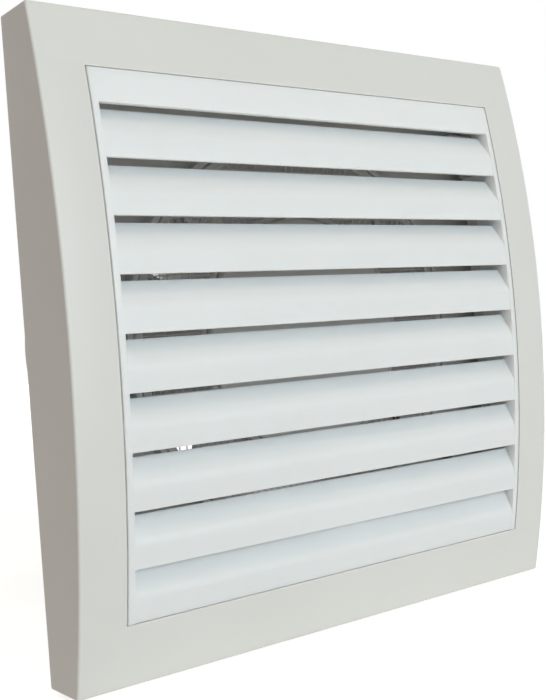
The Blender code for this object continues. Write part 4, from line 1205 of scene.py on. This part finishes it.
@dataclass
class RearHousing:
    """Base plate with its rim, the duct spigot, screen seat, pillars and slots."""

    plate: float = 0.0724
    plate_wall: float = 0.0020
    rim_wall: float = 0.0016
    rim_y: float = -0.0070
    edge_round: float = 0.0003
    spigot: float = 0.0495
    spigot_wall: float = 0.0018
    spigot_length: float = 0.0645
    spigot_chamfer: float = 0.0010
    spigot_fillet: float = 0.0012
    fillet_y: float = -0.0010
    fillet_steps: int = 6
    seat_y: float = -0.0039
    guard: Pair = (0.0506, 0.0522)
    guard_y: float = -0.0054
    guard_round: float = 0.0002
    pillar: float = 0.0034
    pillar_y: float = -0.0089
    seat_place: float = 0.0447
    arm_back_y: float = -0.0004
    seat_depth: float = 0.0090
    hole: float = 0.0017
    screw_length: float = 0.0080
    boss: float = 0.0026
    boss_y: float = -0.00525
    boss_hole: float = 0.0016
    slot_place: float = 0.0640
    slot: Pair = (0.0022, 0.0080)
    lead_notch: float = 0.0130
    steps: int = 160

    @property
    def bore(self) -> float:
        """The spigot's bore."""
        return self.spigot - self.spigot_wall

    def plate_with_rim(self) -> Workpiece:
        """The plate, its rim drawn forward from an inset of its front face."""
        half = self.plate
        plate = Workpiece.block("base_and_spigot", (-half, -self.plate_wall, -half),
                                (half, 0, half))
        with plate.bench():
            plate.pick(Kind.FACE, lambda face: face.normal.y < -FACING)
            bpy.ops.mesh.inset(thickness=self.rim_wall)
            plate.pick(Kind.FACE, lambda face: face.normal.y < -FACING
                       and face.calc_center_median().length > half / 2)
            draw_out((0, self.rim_y + self.plate_wall, 0))
        return plate.round_edges(self.edge_round, lambda edge: max(
            max(abs(vert.co.x), abs(vert.co.z)) for vert in edge.verts) > half - WELD)

    def spigot_body(self) -> Workpiece:
        """The duct collar as a solid, with a fillet at the plate and a chamfered end."""
        side, root, end = self.spigot, self.spigot_fillet, self.spigot_length
        profile = [(0, self.seat_y), (side, self.seat_y), (side, self.fillet_y),
                   (side + root, self.fillet_y), (side + root, 0)]
        profile += [(side + root * out, root * back)
                    for out, back in rounding(self.fillet_steps)[1:]]
        profile += [(side, end - self.spigot_chamfer), (side - self.spigot_chamfer, end),
                    (0, end)]
        return Workpiece.turned("spigot", profile, self.steps)

    def fittings(self) -> list[Workpiece]:
        """The screen's guard, the cover's pillars and the terminal cover's boss."""
        into = -self.plate_wall + BURY
        return [
            Workpiece.ring("guard", self.guard, (self.guard_y, into), self.guard_round,
                           self.steps),
            *Workpiece.rods("pillar", FrontCover().lug_places(), self.pillar,
                            (self.pillar_y, into)),
            *Workpiece.rods("boss", [middle_of("terminal_cover_screw")], self.boss,
                            (self.boss_y, into)),
        ]

    def seats(self) -> Workpiece:
        """Half-round columns in the bore that the carrier's feet screw to."""
        front = self.arm_back_y + CLEARANCE
        first, *others = Workpiece.rods("seat", on_arms(self.seat_place), self.pillar,
                                        (front, front + self.seat_depth))
        trim = Workpiece.ring("trim", (self.spigot - BURY / 2, self.spigot + 2 * self.pillar),
                              (-OVERRUN, self.seat_depth + OVERRUN), 0.0, self.steps)
        return first.join(*others).cut(trim)

    def slot_cutter(self, x: float, z: float) -> Workpiece:
        """A level slot with round ends through the plate.

        Args:
            x: Its place across.
            z: Its height.

        Returns:
            The cutter.
        """
        radius, length = self.slot
        reach = length / 2 - radius
        span = (-self.plate_wall - OVERRUN, OVERRUN)
        middle = Workpiece.block("slot", (x - reach, span[0], z - radius),
                                 (x + reach, span[1], z + radius))
        ends = [(x + side * reach, z) for side in SIDES]
        return middle.join(*Workpiece.rods("slot_end", ends, radius, span))

    def holes(self) -> list[Workpiece]:
        """Wall slots, screw holes, the cable entry and the way for the leads."""
        front, grommet = -self.plate_wall, CableGrommet()
        entry = [middle_of("cable_grommet")]
        cutters = [self.slot_cutter(x * self.slot_place, z * self.slot_place)
                   for x, z in CORNERS if (x, z) != (1, -1)]
        for places, radius, span in (
            (on_arms(MotorCarrier().foot_place), self.hole, (-OVERRUN, self.screw_length)),
            (FrontCover().lug_places(), self.hole, (self.pillar_y - OVERRUN, front)),
            ([middle_of("terminal_cover_screw")], self.boss_hole, (self.boss_y - OVERRUN, front)),
            (entry, grommet.neck + CLEARANCE, (front - OVERRUN, OVERRUN)),
            (entry, grommet.flange + CLEARANCE, (-grommet.wall, OVERRUN)),
        ):
            cutters += Workpiece.rods("hole", places, radius, span)
        half = self.lead_notch / 2
        notch = Workpiece.block("notch", (self.bore - OVERRUN, self.guard_y - OVERRUN, -half),
                                (self.guard[1] + OVERRUN, front, half))
        return [*cutters, notch.moved(LEADS_TURN)]

    def build(self) -> None:
        """Models the housing and dresses it."""
        plate = self.plate_with_rim().join(self.spigot_body(), *self.fittings())
        plate.cut(*Workpiece.rods("bore", [(0, 0)], self.bore,
                                  (self.seat_y - OVERRUN, self.spigot_length + OVERRUN),
                                  self.steps))
        plate.join(self.seats()).cut(*self.holes())
        plate.finish("textured_white_casing", Body.CASING, "housing_white", "rear_housing")


@dataclass
class MotorCarrier:
    """The motor's cup on four webbed arms that screw to the spigot."""

    cup: float = 0.0300
    cup_wall: float = 0.0018
    face_y: float = -0.0064
    face_wall: float = 0.0016
    back_y: float = 0.0235
    edge_round: float = 0.0012
    edge_steps: int = 5
    lip_chamfer: float = 0.0002
    steps: int = 128
    seat: float = 0.0058
    seat_wall: float = 0.0017
    bearing_length: float = 0.0040
    flange: float = 0.0120
    flange_y: Pair = (-0.0020, -0.0004)
    flange_round: float = 0.0025
    web: float = 0.0024
    web_back_y: Pair = (0.0190, 0.0060)
    web_round: float = 0.0003
    foot_place: float = 0.0436
    foot: float = 0.0034
    foot_hole: float = 0.0017
    bolt_place: float = 0.0232
    bolt_boss: float = 0.0031
    bolt_hole: float = 0.0016
    boss_back_y: float = 0.0032
    lead_hole: float = 0.0012
    lead_y: float = -0.0031
    lead_offset: float = 0.0046

    @property
    def inner_y(self) -> float:
        """The inside of the cup's face."""
        return self.face_y + self.face_wall

    def cup_body(self) -> Workpiece:
        """The cup, open at its back, with the front bearing's seat inside."""
        seat_y = self.inner_y + CLEARANCE + self.bearing_length
        bore, seat_side = self.cup - self.cup_wall, self.seat + self.seat_wall
        profile = [(0, self.face_y)]
        profile += [(self.cup - self.edge_round * out, self.face_y + self.edge_round * back)
                    for out, back in rounding(self.edge_steps)]
        profile += [(self.cup, self.back_y - self.lip_chamfer),
                    (self.cup - self.lip_chamfer, self.back_y), (bore, self.back_y),
                    (bore, self.inner_y), (seat_side, self.inner_y), (seat_side, seat_y),
                    (self.seat, seat_y), (self.seat, self.inner_y), (0, self.inner_y)]
        return Workpiece.turned("motor_cup", profile, self.steps)

    def arm_web(self) -> Workpiece:
        """The arm's deep web along +X, tapering towards the foot."""
        inner, outer = self.cup - BURY, self.foot_place - self.foot - CLEARANCE
        front = sum(self.flange_y) / 2
        outline = [(inner, front), (outer, front), (outer, self.web_back_y[1]),
                   (inner, self.web_back_y[0])]
        web = Workpiece.path("web", [(x, y, -self.web / 2) for x, y in outline], closed=True)
        with web.bench():
            take_all()
            bpy.ops.mesh.edge_face_add()
            draw_out((0, 0, self.web))
            web.weld()
        return web.round_edges(self.web_round, lambda edge: min(
            vert.co.y for vert in edge.verts) > self.web_back_y[1] - WELD, FEW_STEPS)

    def arm(self) -> Workpiece:
        """One arm along +X: flange, foot, web and the bolt's boss, before its holes."""
        arm = Workpiece.block("arm", (self.cup - BURY, self.flange_y[0], -self.flange / 2),
                              (self.foot_place, self.flange_y[1], self.flange / 2))
        with arm.bench():
            arm.pick(Kind.EDGE, lambda edge: all(
                vert.co.x > self.foot_place - WELD for vert in edge.verts)
                and abs(edge.verts[0].co.y - edge.verts[1].co.y) > WELD)
            bpy.ops.mesh.bevel(offset=self.flange_round, segments=self.edge_steps, profile=0.5,
                               affect="EDGES")
        foot = Workpiece.rods("foot", [(self.foot_place, 0)], self.foot, self.flange_y)
        boss = Workpiece.rods("bolt_boss", [(self.bolt_place, 0)], self.bolt_boss,
                              (self.inner_y - BURY, self.boss_back_y))
        return arm.join(*foot, self.arm_web(), *boss)

    def holes(self) -> list[Workpiece]:
        """Holes for the fixing screws, the bolts and the motor's leads."""
        holes = Workpiece.rods("foot_hole", on_arms(self.foot_place), self.foot_hole,
                               (self.flange_y[0] - OVERRUN, self.flange_y[1] + OVERRUN))
        holes += Workpiece.rods("bolt_hole", on_arms(self.bolt_place), self.bolt_hole,
                                (self.inner_y + CLEARANCE, self.boss_back_y + OVERRUN))
        reach = self.cup_wall + 2 * OVERRUN
        leads = Workpiece.rods("lead_hole", [(0, 0), (0, 0)], self.lead_hole, (0, reach))
        for side, hole in zip(SIDES, leads):
            start = Matrix.Translation((self.cup - reach, self.lead_y, side * self.lead_offset))
            holes.append(hole.moved(LEADS_TURN @ start @ ACROSS_TURN))
        return holes

    def build(self) -> None:
        """Models the carrier and dresses it."""
        arms = self.arm().copies([about_duct(angle) for angle in ARM_TURNS])
        cup = self.cup_body().join(*arms).cut(*self.holes())
        cup.finish("textured_white_casing", Body.CASING, "housing_white", "motor_carrier")


@dataclass
class Impeller:
    """The hub cup with seven twisted blades, inner ribs and a bored boss."""

    hub: float = 0.0260
    hub_wall: float = 0.0018
    front_y: float = 0.0284
    back_y: float = 0.0500
    dome: float = 0.0022
    dome_steps: tuple[int, int] = (9, 5)
    dome_power: float = 2.4
    lip_chamfer: float = 0.0003
    bore: float = 0.0023
    boss: float = 0.0046
    boss_front_y: float = 0.0345
    rib_wall: float = 0.0012
    rib_round: float = 0.0002
    blade_count: int = 7
    blade_tip: float = 0.0464
    blade_wall: float = 0.0015
    blade_round: float = 0.00045
    chords: Pair = (0.0215, 0.0300)
    pitches: Pair = (50.0, 30.0)
    camber_share: float = 0.08
    sweep: float = 10.0
    middle_y: float = 0.0396
    blade_steps: tuple[int, int] = (16, 20)

    def hub_body(self) -> Workpiece:
        """The hub cup, domed behind, with its bored boss."""
        top, inner = self.back_y + self.dome, self.hub - self.hub_wall
        crown_steps, edge_steps = self.dome_steps
        profile = [(self.bore, top), (self.boss, top)]
        for i in range(1, crown_steps):
            share = i / crown_steps
            profile.append((self.boss + (self.hub - self.dome - self.boss) * share,
                            self.back_y + self.dome * (1 - share**self.dome_power)))
        profile += [(self.hub - self.dome * out, self.back_y - self.dome * back)
                    for out, back in rounding(edge_steps)]
        profile += [(self.hub, self.front_y + self.lip_chamfer),
                    (self.hub - self.lip_chamfer, self.front_y), (inner, self.front_y),
                    (inner, self.back_y - self.hub_wall - self.dome / 2),
                    (self.boss, self.back_y - self.hub_wall), (self.boss, self.boss_front_y),
                    (self.bore, self.boss_front_y)]
        return Workpiece.turned("fan_wheel", profile)

    def blade(self) -> Workpiece:
        """One twisted blade, bent from a flat grid and made thick."""
        clear_bench()
        bpy.ops.mesh.primitive_grid_add(x_subdivisions=self.blade_steps[0],
                                        y_subdivisions=self.blade_steps[1], size=1)
        blade = Workpiece(bpy.context.object, "blade")
        root = self.hub - self.hub_wall / 2
        for vert in blade.body.data.vertices:
            out, across = vert.co.x + 0.5, vert.co.y
            radius = root + (self.blade_tip - root) * out
            chord = self.chords[0] + (self.chords[1] - self.chords[0]) * out
            pitch = math.radians(self.pitches[0] + (self.pitches[1] - self.pitches[0]) * out)
            camber = chord * self.camber_share * (1 - 4 * across**2)
            round_arc = across * chord * math.cos(pitch) - camber * math.sin(pitch)
            along = across * chord * math.sin(pitch) + camber * math.cos(pitch)
            x, z = on_circle(radius, math.radians(self.sweep) * out + round_arc / radius)
            vert.co = (x, self.middle_y + along, z)
        blade.modify("SOLIDIFY", thickness=self.blade_wall, offset=0, use_even_offset=True)
        return blade.round_edges(self.blade_round, least=STEEP)

    def ribs(self) -> list[Workpiece]:
        """Ribs inside the hub, from the boss to the wall."""
        half, into = self.rib_wall / 2, self.hub_wall / 2
        rib = Workpiece.block("rib", (self.boss - BURY, self.boss_front_y + BURY, -half),
                              (self.hub - into, self.back_y - into, half))
        rib.round_edges(self.rib_round, lambda edge: all(
            vert.co.y < self.boss_front_y + 2 * BURY for vert in edge.verts), FEW_STEPS)
        return rib.copies(self.turns(0.5))

    def turns(self, start: float) -> list[Matrix]:
        """Even turns about the duct's axis, one to a blade, from a share of the first."""
        return [about_duct(math.tau * (k + start) / self.blade_count)
                for k in range(self.blade_count)]

    def build(self) -> None:
        """Models the impeller and dresses it."""
        wheel = self.hub_body().join(*self.blade().copies(self.turns(0)), *self.ribs())
        wheel.finish("light_grey_impeller", Body.ROTOR, "impeller_grey", "impeller")


@dataclass(frozen=True)
class Screw:
    """A slotted pan-head screw, its shank along +Y and its head's seat at the origin."""

    name: str
    radius: float
    head_radius: float
    head: float
    crown_share: float = 0.7
    dome_share: float = 0.45
    tip_share: float = 0.35
    slot_width: float = 0.0006
    slot_depth: float = 0.0006
    edge_round: float = 0.00006
    edge_angle: float = math.radians(50)
    edge_steps: int = 5
    steps: int = 32

    def shape(self, length: float) -> Workpiece:
        """The screw with its rounded head, driver slot and pointed shank.

        Args:
            length: The shank's length under the head.

        Returns:
            The screw.
        """
        top, side, tip = -self.head, self.head_radius, self.radius * self.tip_share
        flank, dome = side * (1 - self.crown_share), self.head * self.dome_share
        profile = [(0.0, top)]
        profile += [(side - flank * out, top + dome * back)
                    for out, back in rounding(self.edge_steps)]
        profile += [(side, 0.0), (self.radius, 0.0), (self.radius, length - tip),
                    (self.radius - tip, length), (0.0, length)]
        screw = Workpiece.turned(self.name, profile, self.steps)
        slot = Workpiece.block("slot", (-2 * side, top - OVERRUN, -self.slot_width / 2),
                               (2 * side, top + self.slot_depth, self.slot_width / 2))
        return screw.cut(slot).round_edges(self.edge_round, steps=FEW_STEPS, least=self.edge_angle)


@dataclass
class Fasteners:
    """The zinc plated screws, each in its CAD screw's place, and the impeller's clip."""

    fixing: Screw = Screw("fixing", radius=0.0014, head_radius=0.0028, head=0.0016)
    bolt: Screw = Screw("bolt", radius=0.0013, head_radius=0.0025, head=0.0015)
    cap: Screw = Screw("cap", radius=0.0013, head_radius=0.0025, head=0.0015)
    clip_chamfer: float = 0.0002
    clip_plate: float = 0.0007
    clip_teeth: Pair = (0.0014, 0.0005)

    def place(self, screw: Screw, nodes: Sequence[str], facing_room: bool = True) -> None:
        """Copies one screw to the place of each CAD screw.

        Args:
            screw: The screw's sizes.
            nodes: The CAD screws.
            facing_room: Whether the head is at the screw's low end along Y.
        """
        low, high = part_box(nodes[0])
        model = screw.shape((high.y - low.y) - screw.head)
        places = []
        for node in nodes:
            (x, z), (low, high) = middle_of(node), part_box(node)
            seat = low.y + screw.head if facing_room else high.y - screw.head
            place = Matrix.Translation((x, seat, z))
            places.append(place if facing_room else place @ HALF_TURN)
        for node, piece in zip(nodes, model.copies(places)):
            piece.body.name = "fine_" + node
            piece.finish("zinc_plated_screw", Body.CASING, "screw_steel", node)

    def clip(self) -> None:
        """The push-on clip that holds the impeller on its shaft."""
        low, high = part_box("impeller_clip")
        outer, bore, edge = high.x, Impeller().bore, self.clip_chamfer
        front, plate = low.y, low.y + self.clip_plate
        profile = [(bore, front), (outer - edge, front), (outer, front + edge),
                   (outer, plate - edge), (outer - edge, plate),
                   (bore + self.clip_teeth[0], plate), (bore + self.clip_teeth[1], high.y),
                   (bore, high.y)]
        clip = Workpiece.turned("shaft_clip", profile, SMALL_STEPS)
        clip.finish("zinc_plated_screw", Body.ROTOR, "screw_steel", "impeller_clip")

    def build(self) -> None:
        """Models and places every fastener that shows from outside."""
        fixings = [f"carrier_screw_{i}" for i in range(1, 5)]
        fixings += [f"cover_screw_{i}" for i in range(1, 3)]
        self.place(self.fixing, fixings)
        self.place(self.bolt, [f"motor_screw_{i}" for i in range(1, 5)], facing_room=False)
        self.place(self.cap, ["terminal_cover_screw"])
        self.clip()


@dataclass
class CableGrommet:
    """The rubber grommet in the plate's cable entry."""

    bore: float = 0.0032
    flange: float = 0.0070
    neck: float = 0.0052
    wall: float = 0.0010
    round_edge: float = 0.0003

    def build(self) -> None:
        """Models the grommet and dresses it."""
        back, front = -self.wall + CLEARANCE, -RearHousing().plate_wall - CLEARANCE
        top, r = front - self.wall, self.round_edge
        profile = [
            (self.bore, top + r), (self.bore + r, top), (self.flange - r, top),
            (self.flange, top + r), (self.flange, front), (self.neck, front), (self.neck, back),
            (self.flange, back), (self.flange, -r / 2), (self.flange - r, 0.0),
            (self.bore + r, 0.0), (self.bore, -r / 2),
        ]
        x, z = middle_of("cable_grommet")
        grommet = Workpiece.turned("entry_grommet", profile, SMALL_STEPS)
        grommet.moved(Matrix.Translation((x, 0, z))).finish(
            "black_rubber", Body.CASING, "grommet_rubber", "cable_grommet")


@dataclass(frozen=True)
class InnerParts:
    """The CAD nodes that keep their own shape, and the finish that each one gets."""

    finishes: dict[str, str] = field(default_factory=lambda: {
        "motor_end_cover": "textured_white_casing",
        "stator_core": "steel_laminations",
        "coil_bobbin": "natural_nylon",
        "coil_winding": "enamelled_copper_wire",
        "rotor_core": "cast_aluminium_rotor",
        "motor_shaft": "ground_shaft_steel",
        "front_bearing": "bearing_steel_ring",
        "rear_bearing": "bearing_steel_ring",
        "terminal_block": "ivory_terminal_plastic",
        "terminal_insert": "drawn_brass",
        "terminal_screw": "zinc_plated_screw",
        "terminal_cover": "warm_white_cover",
        "lead_live": "brown_insulation",
        "lead_neutral": "blue_insulation",
    })

    def build(self) -> None:
        """Dresses each node by the longest name that starts its own."""
        for name, node in frame["nodes"].items():
            if node.hide_render:
                continue
            starts = [start for start in self.finishes if name.startswith(start)]
            material = MATERIALS[self.finishes[max(starts, key=len)]]
            if not node.data.materials:
                node.data.materials.append(material)
            for spot in node.material_slots:
                spot.material = material


@dataclass(frozen=True)
class SoftLamp:
    """A round lamp that is aimed at the object's middle."""

    name: str
    place: Triple
    size: float
    power: float
    colour: Triple

    def build(self) -> None:
        """Hangs the lamp."""
        data = bpy.data.lights.new(self.name, "AREA")
        data.shape = "DISK"
        data.size = self.size
        data.energy = self.power
        data.color = self.colour
        lamp = bpy.data.objects.new(self.name, data)
        bpy.context.scene.collection.objects.link(lamp)
        lamp.location = self.place
        lamp.rotation_euler = (-Vector(self.place)).to_track_quat("-Z", "Y").to_euler()


@dataclass
class Studio:
    """Plain floor, soft light, white surroundings and the photograph's camera."""

    floor_z: float = -0.0756
    floor_size: float = 24.0
    floor_colour: Triple = (0.8, 0.8, 0.8)
    floor_white: Pair = (0.70, 0.92)
    floor_reach: Pair = (0.10, 1.0)
    # A faint glow that the floor gives off, though it is no lamp, lighting the object from below.
    floor_glow: Triple = (0.19, 0.155, 0.135)
    ambient: Triple = (0.148, 0.128, 0.113)
    lamps: tuple[SoftLamp, ...] = (
        SoftLamp("front_light", (0.1, -2.4, 0.5), 1.2, 33.5, (0.80, 0.92, 0.98)),
        SoftLamp("top_light", (-0.1, -0.5, 1.2), 0.6, 3.3, (1.0, 0.86, 0.66)),
        SoftLamp("back_light", (0.25, 2.4, 0.7), 1.2, 24.0, (0.94, 0.97, 1.0)),
    )
    camera_place: Triple = (-0.156625, -0.2024, -0.000904)
    camera_turn: Triple = (1.563793, 0.074009, -0.582616)
    lens: float = 49.57
    shift_x: float = 0.0757

    def seen_only(self, sheet: NodeSheet) -> Socket:
        """1 for what the camera sees directly, in a mirror or through glass.

        Args:
            sheet: The nodes that it is added to.

        Returns:
            The share.
        """
        path = sheet.add("ShaderNodeLightPath").outputs
        seen = sheet.maths("MAXIMUM", path["Is Camera Ray"], path["Is Glossy Ray"])
        return sheet.maths("MAXIMUM", seen, path["Is Transmission Ray"])

    def surroundings(self) -> None:
        """A white world to the eye that lights the object at a plain level."""
        world = bpy.data.worlds.new("studio_world")
        bpy.context.scene.world = world
        world.use_nodes = True
        sheet = NodeSheet(world.node_tree)
        sheet.tree.nodes.clear()
        light = sheet.add("ShaderNodeBackground", {"Color": self.ambient})
        white = sheet.add("ShaderNodeBackground", {"Color": WHITE})
        mix = sheet.add("ShaderNodeMixShader", {0: self.seen_only(sheet),
                                                1: light.outputs[0], 2: white.outputs[0]})
        sheet.add("ShaderNodeOutputWorld", {"Surface": mix.outputs[0]})

    def floor(self) -> None:
        """A pale floor that glows white to the eye, less near the object so that its shadow shows,
        and gives off a faint light of its own onto the object.
        """
        clear_bench()
        bpy.ops.mesh.primitive_plane_add(size=self.floor_size, location=(0, 0, self.floor_z))
        floor = bpy.context.object
        floor.name = "studio_floor"
        material = bpy.data.materials.new("pale_floor")
        material.use_nodes = True
        sheet = NodeSheet(material.node_tree)
        sheet.tree.nodes.clear()
        matt = sheet.add("ShaderNodeBsdfDiffuse", {"Color": self.floor_colour})
        away = sheet.add("ShaderNodeVectorMath", {0: sheet.place()},
                         operation="LENGTH").outputs["Value"]
        white = sheet.span(away, *self.floor_reach, *self.floor_white)
        seen = sheet.add("ShaderNodeEmission", {"Color": WHITE, "Strength": white})
        # The floor's own glow on all but camera, glossy and transmission rays, which lights the
        # object from below.
        own_glow = sheet.add("ShaderNodeEmission", {"Color": self.floor_glow})
        glow = sheet.add("ShaderNodeMixShader", {0: self.seen_only(sheet), 1: own_glow.outputs[0],
                                                 2: seen.outputs[0]})
        both = sheet.add("ShaderNodeAddShader", {0: matt.outputs[0], 1: glow.outputs[0]})
        sheet.add("ShaderNodeOutputMaterial", {"Surface": both.outputs[0]})
        floor.data.materials.append(material)

    def camera(self) -> None:
        """The camera where the photograph was taken from."""
        data = bpy.data.cameras.new("photo_camera")
        data.sensor_width = 36.0
        data.sensor_fit = "AUTO"
        data.lens = self.lens
        data.shift_x = self.shift_x
        data.clip_start = 0.005
        data.clip_end = 60.0
        camera = bpy.data.objects.new("photo_camera", data)
        bpy.context.scene.collection.objects.link(camera)
        camera.location = self.camera_place
        camera.rotation_euler = self.camera_turn
        bpy.context.scene.camera = camera

    def build(self) -> None:
        """Sets up everything round the object."""
        bpy.context.scene.view_settings.view_transform = "Standard"
        self.surroundings()
        self.floor()
        for lamp in self.lamps:
            lamp.build()
        self.camera()


def main() -> None:
    """Builds every sub-assembly in order and reports each piece."""
    logging.basicConfig(level=logging.INFO, format="%(name)s: %(message)s")
    for part in (FrontCover(), LouvreGrille(), InsectScreen(), RearHousing(), MotorCarrier(),
                 Impeller(), Fasteners(), CableGrommet(), InnerParts(), Studio()):
        part.build()
        log.info("built %s", type(part).__name__)


if __name__ == "__main__":
    main()
